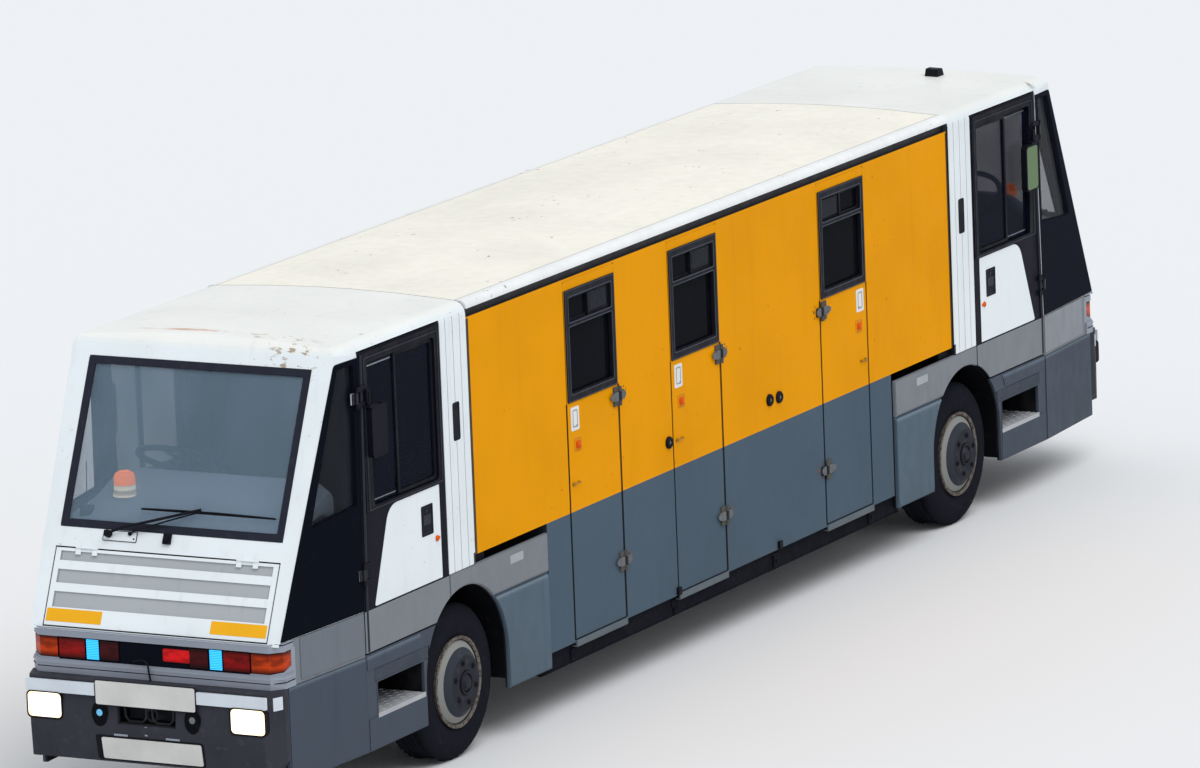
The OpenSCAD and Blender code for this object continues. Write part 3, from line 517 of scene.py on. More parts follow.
def cab_colour(s):
    """White on the outer skin, painted shade near black in its grooves and reveals and on the ledge in the
    gap by the pod, dark lining inside.
    """
    side = abs(s.y)
    length = abs(s.x)
    out = out_of_side(s)
    up = s.z + side * 0.0376 - 0.026
    corner = s.distance(s.math("MAXIMUM", out - 0.630, 0.0), s.math("MAXIMUM", up - 2.080, 0.0))
    behind = out_of_slope(s).fall(-0.006, -0.004)
    brow = length.ramp(3.60, 3.61) * s.z.ramp(2.025, 2.03)
    inside = corner.fall(0.0585, 0.0600) * behind * (1.0 - brow)
    white = s.mix(s.z.ramp(2.10, 2.15), WHITE, srgb(230, 231, 226))
    flakes = s.noise(46, (1, 0.45, 1), 5, 2).ramp(0.56, 0.62)
    streaks = s.noise(24, (1, 0.12, 1), 4, 6).ramp(0.42, 0.62)
    rust = (((3.596, -0.20, 2.155), (0.030, 0.26, 0.2), srgb(190, 124, 66), streaks),
            ((3.620, 0.32, 2.155), (0.060, 0.24, 0.2), srgb(168, 140, 104), flakes),
            ((3.750, 0.48, 2.100), (0.080, 0.16, 0.2), srgb(158, 138, 110), flakes),
            ((-3.540, 0.63, 2.150), (0.050, 0.13, 0.2), srgb(116, 112, 106), streaks))
    for centre, size, shade, cut in rust:
        white = s.mix(s.spot(centre, size) * (cut * 0.9), white, shade)
    # Painted shade: near black where the surface is sunk a few millimetres, in grooves and reveals; grey
    # lining deeper inside
    lining = s.mix(out.fall(0.680, 0.684), srgb(24, 25, 29), srgb(58, 63, 70))
    base = s.mix(inside, white, lining)
    # Painted shade: near black on the platform's ledge, seen in the gap next to the pod
    gap_ledge_shade = length.fall(2.550, 2.554) * s.z.fall(0.960, 0.964)
    base = s.mix(gap_ledge_shade, base, srgb(20, 21, 26))
    return s.mix(side.ramp(0.6924, 0.6930), base, BLACK)


def roof_colour(s):
    """Cream panels, white rails along the edges, and painted shade, black, in the recessed gap under them.
    """
    out = abs(s.y)
    base = s.mix(out.ramp(0.634, 0.636), CREAM, srgb(230, 232, 232))
    line = out.ramp(0.631, 0.633) * out.fall(0.637, 0.639)
    base = s.mix(line * 0.6, base, srgb(120, 112, 100))
    # Painted shade: black below the rails, where the gap under them lies in shadow
    return s.mix(s.z.ramp(2.1064, 2.1068), BLACK, base)


def rim_colour(s):
    """Rusty flange, pale ring, dark dish."""
    out = from_axle(s)
    base = s.mix(out.ramp(0.159, 0.163), srgb(22, 24, 31), srgb(134, 135, 132))
    rust = s.noise(60, detail=5, shift=2).ramp(0.42, 0.60)
    base = s.mix(out.ramp(0.194, 0.197), base, s.mix(rust, srgb(112, 106, 100), srgb(76, 68, 62)))
    groove = out.ramp(0.192, 0.194) * out.fall(0.197, 0.199)
    return s.mix(groove, base, srgb(24, 24, 28))


def skirt_colour(s):
    """Silver upper band and blue-grey lower panels, with the split where the panels meet, and painted shade,
    near black, on the faces sunk behind the side.
    """
    x = abs(s.x)
    split = 0.7255 - x.ramp(3.589, 3.591) * 0.0250
    lower = s.mix(x.ramp(2.649, 2.651), BLUE_GREY, SLATE)
    base = s.mix((s.z - split).ramp(-0.0002, 0.0002), lower, SILVER)
    # Painted shade: near black inside the step openings and other recesses behind the side
    return s.mix(out_of_side(s).fall(0.676, 0.681), base, srgb(14, 16, 22))


def head_colour(s):
    """A lit lamp: white in the middle, warm towards its rim."""
    side = abs(s.y) - 0.523
    up = s.z - 0.567
    out = side * side + up * up * 2.0
    return s.mix(out.ramp(0.0030, 0.0120), srgb(255, 252, 238), srgb(255, 205, 130))


# Grey sides and a darker face
drum_colour = two_tone(from_axle, 0.126, 0.134, srgb(36, 38, 47), srgb(50, 55, 63))
# White raised bars, grey between them: the bars' faces lie 7 mm further out along the slope
flap_colour = two_tone(out_of_slope, -0.0050, -0.0030, srgb(163, 168, 172), WHITE)
# Slate and blue-grey, with a painted highlight, paler, along the top edge where the panel turns in
slate_with_edge_highlight = two_tone(height, 0.674, 0.695, SLATE, srgb(104, 116, 128), 0.7)
fender_with_edge_highlight = two_tone(height, 0.688, 0.711, srgb(78, 96, 110), srgb(120, 136, 147), 0.7)
# Silver of the covers beside the nose, paler on the rear cab
cover_colour = two_tone(ahead, -0.1, 0.1, srgb(134, 139, 146), srgb(106, 113, 121))
# Black moulding in the middle, slate on the ends that turn round the corners
bumper_colour = two_tone(sideways, 0.662, 0.666, srgb(52, 53, 61), srgb(70, 80, 93))
# Near black on the front cab's quarter panels, faded to dark grey on the rear cab's
panel_colour = two_tone(ahead, -0.1, 0.1, srgb(30, 32, 40), srgb(17, 20, 28))
# Pale green-grey in the windscreens, a painted reflection over clear glass, darker in the small quarter
# windows
screen_tint_and_reflection = two_tone(sideways, 0.600, 0.612, srgb(124, 146, 164), srgb(26, 31, 40))

mat_yellow = paint("pod_paint", pod_colour, 0.42, 0.30, 0.15, chips=0.5, gloss=0.02)
mat_cab = paint("cab_shell_paint", cab_colour, 0.36, 0.30, 0.22, 2.0, chips=0.3, gloss=0.35)
mat_white = paint("cab_paint", WHITE, 0.36, 0.30, 0.22, 2.0, chips=0.3, gloss=0.35)
mat_silver = paint("silver_paint", SILVER, 0.42, 0.6, 0.4, 4.0, chips=0.3, gloss=0.15)
mat_quarter_silver = paint("quarter_silver_paint", cover_colour, 0.42, 0.6, 0.4, 4.0, chips=0.3, gloss=0.12)
mat_slate = paint("slate_paint", slate_with_edge_highlight, 0.42, 0.5, 0.4, 7.0, chips=0.3, gloss=0.06)
mat_fender = paint("fender_paint", fender_with_edge_highlight, 0.42, 0.6, 0.4, 5.0, chips=0.4, gloss=0.1)
mat_skirt = paint("skirt_paint", skirt_colour, 0.42, 0.7, 0.5, 5.0, chips=0.4, gloss=0.08)
mat_flap = paint("flap_paint", flap_colour, 0.38, 0.3, 0.35, 6.0, gloss=0.35)
mat_roof = paint("roof_paint", roof_colour, 0.55, 0.5, 0.2, 8.0, low=1.5, high=3.0, chips=0.7, gloss=0.35)
mat_door = paint("door_black", BLACK, 0.30, 0.2, 0.2, 9.0, gloss=0.03)
mat_bumper = plain("bumper_plastic", bumper_colour, 0.6, wear=0.14, gloss=0.12)
mat_trim = plain("trim_plastic", srgb(140, 146, 158), 0.5, wear=0.06)
mat_trim_light = plain("trim_edge", srgb(142, 150, 162), 0.4, wear=0.06)
mat_black = plain("black_plastic", srgb(22, 23, 30), 0.5, wear=0.05, gloss=0.06)
mat_gloss_black = plain("black_panel", panel_colour, 0.26, depth=0.02, wear=0.01, gloss=0.0)
mat_border = plain("screen_rubber", srgb(38, 40, 51), 0.6, wear=0.05, gloss=0.06)
mat_frame_grey = plain("window_frame", srgb(44, 47, 56), 0.5, wear=0.05, gloss=0.10)
mat_frame_line = plain("frame_edge", srgb(72, 76, 86), 0.5, wear=0.05, gloss=0.1)
mat_rubber = plain("rubber", srgb(14, 15, 19), 0.75, wear=0.04, gloss=0.04)
mat_tyre = plain("tyre_rubber", srgb(29, 30, 37), 0.9, wear=0.06, gloss=0.02)
mat_steel = plain("dark_steel", srgb(42, 43, 47), 0.6, 0.3, wear=0.25)
mat_hinge = plain("hinge_steel", srgb(104, 106, 109), 0.55, 0.1, wear=0.3)
mat_frame = plain("frame_paint", srgb(24, 25, 32), 0.65, wear=0.03, gloss=0.02)
mat_sill = plain("sill_metal", srgb(92, 102, 108), 0.5, 0.1, wear=0.15, gloss=0.15)
mat_tread = plain("step_tread", srgb(176, 178, 182), 0.5, 0.2, wear=0.12)
mat_step_bar = plain("step_bar", srgb(72, 79, 90), 0.5, wear=0.08, gloss=0.08)
mat_chrome = plain("mirror_glass", srgb(96, 122, 78), 0.10, 1.0, depth=0.02, wear=0.02)
mat_rim = paint("rim_paint", rim_colour, 0.6, 0.25, 0.4, 3.0, low=0.1, high=1.2, chips=0.3, gloss=0.08)
mat_hub = plain("hub_paint", srgb(24, 26, 33), 0.5, 0.1, wear=0.08, gloss=0.12)
mat_drum = plain("drum_paint", drum_colour, 0.6, wear=0.16, gloss=0.12)
mat_dash = plain("dash_plastic", srgb(134, 150, 168), 0.62)
mat_seat = plain("seat_cloth", srgb(40, 50, 70), 0.95, texture=14, depth=0.05)
mat_plate = plain("plate_white", srgb(206, 206, 202), 0.4, wear=0.10)
mat_label = plain("label_grey", srgb(160, 163, 167), 0.4, wear=0.10)
mat_pod_frame = plain("pod_window_frame", srgb(29, 31, 38), 0.5, wear=0.04, gloss=0.06)
mat_latch_plate = plain("latch_plate", srgb(222, 222, 218), 0.4, wear=0.06)
mat_sticker = plain("reflective_yellow", srgb(236, 170, 4), 0.4, wear=0.05)
mat_reflector = plain("reflector_white", srgb(206, 214, 222), 0.35, wear=0.08)
mat_button = plain("button_orange", srgb(216, 88, 22), 0.5, wear=0.05, gloss=0.08)
mat_button_base = plain("button_base", srgb(196, 116, 8), 0.5, wear=0.10)
mat_brass = plain("brass", srgb(176, 132, 40), 0.4, 0.5, wear=0.2)
mat_end_strip = plain("end_strip", srgb(70, 52, 36), 0.7, wear=0.2)
mat_rust = plain("rust_stain", srgb(138, 84, 40), 0.8, wear=0.3)
mat_orange = glowing("lamp_orange", srgb(200, 66, 18), srgb(226, 66, 10), 0.18, 60, "Z", 0.817)
mat_red = glowing("lamp_red", srgb(150, 14, 12), srgb(190, 8, 6), 0.12, 60, "Y", 0.817)
mat_red_lit = glowing("lamp_red_lit", srgb(180, 20, 22), srgb(240, 20, 26), 0.55, 55, "Y", 0.822)
mat_dark_red = glowing("lamp_dark_red", srgb(76, 8, 12), srgb(90, 5, 8), 0.04, 60, "Y", 0.817)
mat_blue_lit = glowing("lamp_blue_lit", srgb(60, 180, 250), srgb(50, 185, 255), 1.05, 40, "Z")
mat_beacon = glowing("beacon_orange", srgb(240, 120, 36), srgb(255, 128, 26), 1.1, 70, "Z")
# The beacon's white base is no lamp: its glow is painted light that brightens it behind the windscreen
mat_beacon_base_glow = glowing("beacon_base", srgb(236, 222, 198), srgb(236, 220, 190), 0.5, 8, "Z")
mat_fog = glowing("driving_lamp", srgb(120, 190, 226), srgb(90, 180, 240), 0.45, 70, "Y")
mat_dull_lamp = glowing("dull_lamp", srgb(120, 124, 132), srgb(120, 124, 132), 0.05, 70, "Y")
head = Surface("headlamp_lit", 0.2)
head.set("Base Color", srgb(255, 240, 205))
head.set("Emission Color", head_colour)
head.set("Emission Strength", 1.5)
mat_head_lit = head.material
mat_glass = glass("window_glass", srgb(12, 17, 32), 0.62, gloss=0.02)
mat_pod_glass = glass("pod_glass", srgb(15, 16, 22), 0.86, gloss=0.01)
mat_pale_glass = glass("sliding_glass", srgb(34, 38, 45), 0.75, gloss=0.04)
# The windscreen's pale tint and its patchy film are a painted reflection over the glass
mat_screen = glass("windscreen_glass", screen_tint_and_reflection, 0.28, gloss=0.12)

NODE_MATERIALS = {
    "chassis": mat_frame, "engine_block": mat_steel, "axles": mat_steel, "knuckle": mat_steel,
    "rim": mat_rim, "tyre": mat_tyre, "cab_shell": mat_cab, "skirts": mat_skirt,
    "bumper": mat_bumper, "lamp_housings": mat_trim, "lamp_lenses": mat_gloss_black,
    "flap": mat_flap, "cab_glass": mat_screen, "roof_box": mat_black, "wipers": mat_black,
    "dashboards": mat_dash, "steering_wheels": mat_black, "cab_seats": mat_seat,
    "cab_door": mat_door, "cab_pane": mat_glass, "pod_sides": mat_yellow, "pod_floor": mat_yellow,
    "pod_hinges": mat_steel, "pod_roof": mat_roof,
    "pod_benches": mat_seat, "pod_door": mat_yellow, "pod_pane": mat_pod_glass,
}
for node_name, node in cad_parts.items():
    stem = max((s for s in NODE_MATERIALS if node_name.startswith(s)), key=len)
    for material_slot in node.material_slots:
        material_slot.material = NODE_MATERIALS[stem]

# Nose: windscreen border, stickers, nozzle
border = [rectangle(-SCREEN_HALF_W, SCREEN_LOW, SCREEN_HALF_W, SCREEN_HIGH, 14),
          rectangle(36 - SCREEN_HALF_W, SCREEN_LOW + 38, SCREEN_HALF_W - 36, SCREEN_HIGH - 36, 7)]
piece("windscreen_border", Shape().plate(border, -9, 2, NOSE), mat_border, 1.5, ENDS)

stickers = Shape()
lines = Shape()
for way in (-1, 1):
    edge = way * (SCREEN_HALF_W - 27)
    stickers.plate(rectangle(way * 285, 21, way * 575, 81, 3), 0, 1, NOSE)
    lines.plate(rectangle(edge - way * 5, 88, edge, 348, 1), -7, -5.6, NOSE)
for end, place in (("front", HERE), ("rear", TURN)):
    flap = "flap_" + end
    piece("flap_stickers_" + end, stickers, mat_sticker, 0.3, [place], body=flap)
    piece("flap_shadow_lines_" + end, lines, mat_trim, 0.2, [place], body=flap)

nozzle = Shape().block((-31, 411, 0), (9, 460, 16), NOSE).block((-22, 424, 16), (0, 446, 26), NOSE)
piece("washer_nozzles", nozzle, mat_black, 3, ENDS)


# Quarter panels: black from the cab door to the nose, with the window's opening
def quarter_x(x):
    """Where x lies on the tapered side."""
    return (x - DOOR_FRONT_X) / math.cos(TAPER)


def quarter_window(inset):
    """The quarter window's outline, drawn in by inset."""
    return rounded([(quarter_x(DOOR_FRONT_X + 14) + inset, 1400 + inset, 12),
                    (quarter_x(face_x(1372) - 84) - 1.3 * inset, 1372 + inset, 12),
                    (quarter_x(face_x(2055) - 40) - 1.3 * inset, 2055 - inset, 8),
                    (quarter_x(DOOR_FRONT_X - 2) + inset, 2055 - inset, 12)])


panel = rounded([(5, BELT_Z + 2, 2), (quarter_x(NOSE_X - 10), BELT_Z + 2, 4),
                 (quarter_x(face_x(2078) - 8), 2078, 30), (-30, 2078, 4)])
quarter = Shape().plate([panel, quarter_window(3)], -2, 1.6, QUARTER)
quarter.plate([quarter_window(-1), quarter_window(3)], -44, -1, QUARTER)
piece("quarter_panels", quarter, mat_gloss_black, 0.8, CORNERS)

# Side covers: rounded panels that stand a little proud of the skirts
covers = Shape().plate(rectangle(6, BAND_Z, quarter_x(4120), 905, 9), 0.5, 4, QUARTER)
piece("quarter_covers_upper", covers, mat_quarter_silver, 3, CORNERS, 3)
end = quarter_x(4226)
covers = Shape().plate(rounded([(6, 259, 12), (end, 259, 12), (end, 696, 6), (6, 696, 9)]), 0.5, 4, QUARTER)
end = DOOR_FRONT_X - 6
covers.plate(rounded([(3106, 633, 7), (end, 633, 7), (end, 698, 7), (3082, 698, 7)]), 0.2, 3.4, CAB)
covers.plate(rounded([(3048, 259, 7), (end, 259, 7), (end, 405, 7), (3058, 405, 7)]), 0.2, 3.4, CAB)
piece("quarter_covers_lower", covers, mat_slate, 3, CORNERS, 3)
backing = Shape().block((3568, 636, 262), (3624, 662, 700)).block((2404, 640, 862), (2552, 664, 936))
piece("skirt_joint_strips", backing, mat_black, 1, CORNERS)


def arch_points(start, end, steps):
    """Corners along the wheel arch, from angles measured upwards from its rear end."""
    reach = ARCH_R + 5
    angles = [math.radians(start + (end - start) * k / steps) for k in range(steps + 1)]
    return [(WHEEL_X - reach * math.cos(t), ARCH_Z + reach * math.sin(t), 0) for t in angles]


fender = rounded([(1848, 262, 26), (2252, 262, 14)] + arch_points(0, 43.8, 14) + [(1848, 712, 22)])
piece("fender_covers", Shape().plate(fender, 0.2, 3.6, CAB), mat_fender, 3.2, CORNERS, 3)
band = rounded([(1848, 733, 12)] + arch_points(48.2, 109.7, 18) + [(2784, 904, 4), (1848, 904, 10)])
piece("band_covers", Shape().plate(band, 0.2, 3.6, CAB), mat_silver, 3, CORNERS, 3)
label = Shape().plate(rectangle(2086, 836, 2212, 876, 4), 3.4, 4.2, CAB)
piece("blank_labels", label, mat_label, 0.4, LEFT)

# Steps: chequered tread, ribbed bar, and a lip round the opening
treads = Shape().block((3067, 458, 414.2), (3493, 689, 419)).block((3060, 688, 398), (3500, HALF_W + 4, 420))
for k in range(13):
    for n in range(7):
        a, b = 3086 + k * 33, 474 + n * 33
        way = 1 if (k + n) % 2 else -1
        bar = [(a - 11, b - 4 * way), (a - 9, b - 8 * way), (a + 11, b + 4 * way), (a + 9, b + 8 * way)]
        treads.plate(bar, 419, 421.5)
piece("step_treads", treads, mat_tread, 0, CORNERS)
bars = Shape().block((3018, 568, -6), (3514, 624, -1), CAB)
for k in range(6):
    bars.block((3020, 572 + k * 9, -2), (3512, 576 + k * 9, 1.5), CAB)
piece("step_bars", bars, mat_step_bar, 0.8, CORNERS)
lips = Shape().plate(hollow(3058, 410, 3502, 569, 5, 3, 3), -5, 2.4, CAB)
piece("step_lips", lips, mat_step_bar, 0.8, CORNERS)
slots = Shape().plate(rectangle(2633, 1521, 2691, 1692, 8), -3, 0.6, CAB)
slots.plate(hollow(2629, 1517, 2695, 1696, 8, 12, 7), -3, 1.2, CAB)
piece("pillar_slots", slots, mat_black, 0.6, CORNERS)

# Cab doors: frame round the window, sashes, white panel, silver band, handle, button, mirror
WINDOW_FRONT_X = DOOR_FRONT_X - 134
WINDOW_LEAN = 24
MIRROR_X0, MIRROR_X1, MIRROR_Z0, MIRROR_Z1 = DOOR_FRONT_X - 225, DOOR_FRONT_X - 85, 1602, 1842
frame_outlines = [leaning(DOOR_REAR_X + 12, 1353, DOOR_FRONT_X - 62, 2088, 2, 10, 24),
                  leaning(DOOR_REAR_X + 60, 1374, WINDOW_FRONT_X - 2, 2038, WINDOW_LEAN, 18, 18)]
rails = Shape().plate([leaning(DOOR_REAR_X + 30, 1359, DOOR_FRONT_X - 84, 2066, 4, 8, 16),
                       leaning(DOOR_REAR_X + 36, 1365, DOOR_FRONT_X - 90, 2060, 4, 8, 14)], 4, 8, CAB)
rails.tube([(DOOR_FRONT_X - 26, 720, 3), (DOOR_FRONT_X - 26, BELT_Z, 3),
            (DOOR_FRONT_X - 62, 2084, 3)], 7, 8, CAB)
sashes = Shape()
for x0, x1, out, slant in ((DOOR_REAR_X + 62, 3212, -12, 0), (3194, WINDOW_FRONT_X - 4, -22, 22)):
    sashes.plate([leaning(x0, 1378, x1, 2034, slant, 8, 8),
                  leaning(x0 + 18, 1394, x1 - 18, 2018, slant, 8, 8)], out - 5, out + 5, CAB)
edges = Shape().plate(rectangle(3226, 2012, WINDOW_FRONT_X, 2019, 2), -17, -15, CAB)
edges.plate(rectangle(3226, 1393, WINDOW_FRONT_X - 24, 1397, 1), -17, -15, CAB)
white = [rounded([(2853, 914, 3), (3485, 914, 8), (3322, 1350, 104), (2853, 1350, 4)]),
         rectangle(2925, 1139, 3027, 1275, 5)]
band = [(DOOR_FRONT_X - 5, BAND_Z), (DOOR_FRONT_X - 5, 906), (DOOR_REAR_X + 5, 906)]
arch_end = WHEEL_X + math.sqrt(ARCH_R ** 2 - (BAND_Z - ARCH_Z) ** 2)
for k in range(15):
    x = DOOR_REAR_X + 5 + k * (arch_end - DOOR_REAR_X - 2) / 14
    arch_top = ARCH_Z + math.sqrt(max(0, (ARCH_R + 3) ** 2 - (x - WHEEL_X) ** 2))
    band.append((x, max(BAND_Z, arch_top)))
handle = Shape().plate(hollow(2922, 1136, 3030, 1278, 10, 7, 4), 0, 3.4, CAB)
handle.plate(rectangle(2924, 1138, 3028, 1276, 4), -0.5, 0.8, CAB)
paddle = Shape().plate(rectangle(2942, 1186, 3010, 1232, 5), 0, 2.4, CAB)
paddle.plate(hollow(2932, 1146, 3020, 1268, 3, 4, 3), 0, 1.6, CAB).plate(circle(2976, 1250, 8), 0, 2, CAB)
button = Shape().dome(2892, 1105, 0, 14, 12, CAB).plate(rectangle(2866, 1098, 2894, 1112, 4), 0, 5, CAB)
bracket = Shape().tube([(DOOR_FRONT_X - 80, 1926, 18), (DOOR_FRONT_X - 80, 1870, 20),
                        (DOOR_FRONT_X - 92, 1846, 22)], 5, 8, CAB)
bracket.block((MIRROR_X1 - 62, MIRROR_Z1 - 6, 10), (MIRROR_X1 + 4, MIRROR_Z1 + 8, 36), CAB)
mirror = rectangle(MIRROR_X0 + 9, MIRROR_Z0 + 9, MIRROR_X1 - 9, MIRROR_Z1 - 9, 18)
for name, place in CORNER_NAMES.items():
    mirror_out = 37.4 if name == "rear_left" else 5.2
    dress("cab_door_" + name, place, {
        "window_frame": (Shape().plate(frame_outlines, 0, 5, CAB), mat_black, "black_plastic", 2),
        "window_rails": (rails, mat_frame_grey, "black_plastic", 0.6),
        "sashes": (sashes, mat_black, "black_plastic", 1.5),
        "glass_edges": (edges, mat_trim_light, "trim_silver", 0.3),
        "white_panel": (Shape().plate(white, -0.5, 1.4, CAB), mat_white, "cab_white", 0.6),
        "band": (Shape().plate(band, -0.5, 4, CAB), mat_silver, "skirt_silver", 2.5),
        "handle": (handle, mat_black, "black_plastic", 1.2),
        "handle_paddle": (paddle, mat_frame_grey, "black_plastic", 1),
        "button": (button, mat_button, "lens_red", 0.5),
        "mirror_bracket": (bracket, mat_black, "trim_silver", 2),
        "mirror_glass": (Shape().plate(mirror, mirror_out, mirror_out + 1.4, CAB), mat_chrome, "glass", 0.3),
    })

# Pod doors: each door's middle, and the way to its hinge. On a door, lengths run from its middle
# to the latch, up, and out of the pod's side.
POD_DOORS = {1: (1325, -1), 2: (273, -1), 3: (-1322, 1)}
HINGE_Z = (612, 1412)
HINGE_A = -253.5
WING_LOW = 9
WING_HIGH = 15


def wing(shape, z, reach, place):
    """Half of a butterfly hinge's cover: a rounded leaf that runs reach across from the axis."""
    half = 23
    pin = WING_HIGH - 3
    root = HINGE_A + math.copysign(16, reach)
    shape.tube([(HINGE_A, z - half - 4, pin), (HINGE_A, z + half + 4, pin)], 4, 8, place)
    leaf = [(root + (HINGE_A + reach - root) * math.cos(t), z + half * math.sin(t))
            for t in (math.pi * (k / 12 - 0.5) * 0.86 for k in range(13))]
    leaf = [(root, z - half * 0.92)] + leaf + [(root, z + half * 0.92)]
    shape.plate(leaf, WING_LOW, WING_HIGH, place)
    for share in (-0.45, 0.45):
        rivet = circle(HINGE_A + reach * 0.62, z + share * half, 5, 8)
        shape.plate(rivet, WING_HIGH - 0.5, WING_HIGH + 2, place)


seals = Shape()
upper_seals = Shape()
fixed_wings = Shape()
stains = Shape()
sills = Shape()
for number, (middle, hinge) in POD_DOORS.items():
    door = POD @ shift(middle, 0, 0) @ Matrix.Scale(-hinge, 4, (1, 0, 0))
    window = Shape().plate([rectangle(-247, 1470, 247, 2008, 6),
                            rectangle(-214, 1506, 214, 1972, 10)], -4, 6, door)
    window.plate(rectangle(-220, 1829, 220, 1851, 2), -24, 4, door)
    lines = Shape()
    for low, high in ((1502, 1833), (1847, 1976)):
        lines.plate(hollow(-218, low, 218, high, 4, 10, 8), 5, 7, door)
    lines.plate(hollow(-244, 1473, 244, 2005, 3, 5, 4), 5, 6.6, door)
    lights = Shape().plate(hollow(-216, 1504, 216, 1974, 9, 9, 8), -12, 3, door)
    lights.plate(rectangle(-9, 1846, 9, 1974, 2), -24, -2, door)
    for way, deep in ((hinge, 10), (-hinge, 16)):
        a0, a1 = sorted((-6 * way, 212 * way))
        lights.plate(hollow(a0, 1852, a1, 1970, 12, 4, 4), -deep - 3, -deep + 3, door)
    latch = Shape().plate(hollow(158, 1346, 206, 1430, 6, 9, 6), 1.5, 2.6, door)
    latch.plate(circle(166, 1352, 7), 1.5, 4, door)
    press = middle - hinge * 162
    base = rectangle(press - 18, 1241, press + 18, 1277, 6)
    button = Shape().plate(base, POD_HALF_W, POD_HALF_W + 8, SIDE)
    button.dome(press, 1259, POD_HALF_W + 7, 13, 8, SIDE)
    lever = Shape().plate(circle(222, 1078, 10), 0, 8, door)
    lever.tube([(222, 1078, 8), (170, 1080, 12)], 4, 8, door).plate(circle(170, 1080, 6), 0, 14, door)
    wings = Shape()
    for z in HINGE_Z:
        wing(wings, z, 92, door)
        wings.plate(rectangle(HINGE_A + 17, z - 21, HINGE_A + 56, z + 21, 6), 0, 10, door)
        wing(fixed_wings, z, -58, door)
        for k, (da, dz, r) in enumerate(((70, 6, 9), (64, -24, 6), (80, 18, 4), (58, 34, 5))):
            stains.plate([(HINGE_A - da - hinge * r * (1 + 0.4 * math.sin(3 * t + k)) * math.cos(t),
                           z + dz + r * (1 + 0.3 * math.cos(2 * t + k)) * math.sin(t)) for t in around(12)],
                         -0.5, 0.25, door)
    for side, place in (("left", HERE), ("right", TURN)):
        dress("pod_door_%s_%d" % (side, number), place, {
            "window_frame": (window, mat_pod_frame, "black_plastic", 2.5),
            "window_lines": (lines, mat_frame_line, "black_plastic", 0),
            "sliding_lights": (lights, mat_black, "black_plastic", 1),
            "sliding_pane": (Shape().plate(rectangle(-200, 1866, -14, 1956, 2), -11, -8, door),
                             mat_pale_glass, "glass", 0),
            "latch_plate": (Shape().plate(rectangle(142, 1330, 222, 1444, 9), -0.5, 2, door),
                            mat_latch_plate, "cab_white", 0.8),
            "latch_outline": (latch, mat_trim, "black_plastic", 0.2),
            "button_base": (Shape().plate(hollow(128, 1228, 196, 1290, 4, 5, 4), -0.5, 1.6, door),
                            mat_button_base, "pod_yellow", 0.5),
            "button": (button, mat_button, "lens_red", 1),
            "lever": (lever, mat_brass, "trim_silver", 0.8),
            "hinge_wings": (wings, mat_hinge, "steel_dark", 1.5),
        })
    for way, lip in ((-1, 266 if number < 3 else 264), (1, 265 if number == 1 else 261)):
        seals.plate(rectangle(way * 250.6, 340, way * 256.8, 2008, 1), -20, -1, door)
        upper_seals.plate(rectangle(way * 250.6, 2009, way * 256.8, 2046, 1), -20, -1, door)
        seals.plate(rectangle(way * 257.4, 334, way * lip, 1468, 1), -1, 1.2, door)
    upper_seals.plate(rectangle(-252, 2050.7, 252, 2056.9, 1), -20, -1, door)
    sills.block((-256, 300, -2), (256, 331, 8), door).block((-256, 300, -24), (256, 306, -2), door)
piece("pod_door_seals", seals, mat_rubber, 0, ENDS)
piece("pod_door_upper_seals", upper_seals, mat_yellow, 0, ENDS)
end_strips = Shape()
for x0, x1 in ((2500, 2531), (-2531, -2522)):
    end_strips.plate(rectangle(x0, 948, x1, 2058, 1), -1, 2, POD)
piece("pod_end_strips", end_strips, mat_end_strip, 0.5, ENDS)
piece("pod_hinge_wings", fixed_wings, mat_hinge, 1.5, ENDS)
piece("pod_hinge_stains", stains, mat_rust, 0, [HERE])
piece("pod_sills", sills, mat_sill, 2, ENDS)

# Between the doors: flanges and brackets along the rails, corner boxes, round fittings
flanges = Shape().block((-1900, 610, 224), (1900, 658, 250)).block((-1900, 655, 222), (1900, 662, 229))
for x in (-1580, -530, 530, 1580):
    flanges.block((x - 24, 650, 232), (x + 24, 668, 292)).plate(circle(x, 262, 9, 6), 667, 674, SIDE)
piece("rail_flanges", flanges, mat_frame, 1.5, SIDES)
boxes = Shape()
for x in (538, -537):
    boxes.block((x - 17, 326, 0), (x + 17, 364, 16), POD).block((x - 30, 656, 268), (x + 30, 664, 300))
piece("pod_corner_boxes", boxes, mat_black, 3, ENDS)
fittings = Shape()
middles = Shape()
for x, z in ((581, 1084), (-484, 1081), (-586, 1076)):
    fittings.lathe([(13, 0), (30, 0), (30, 10), (24, 16), (15, 16), (12, 4)], POD @ shift(x, z, 0), 24)
    middles.plate(circle(x, z, 15), -1, 9, POD).plate(circle(x, z, 6), 8, 14, POD)
piece("pod_round_fittings", fittings, mat_black, 1, ENDS)
piece("pod_fitting_middles", middles, mat_hinge, 1, ENDS)

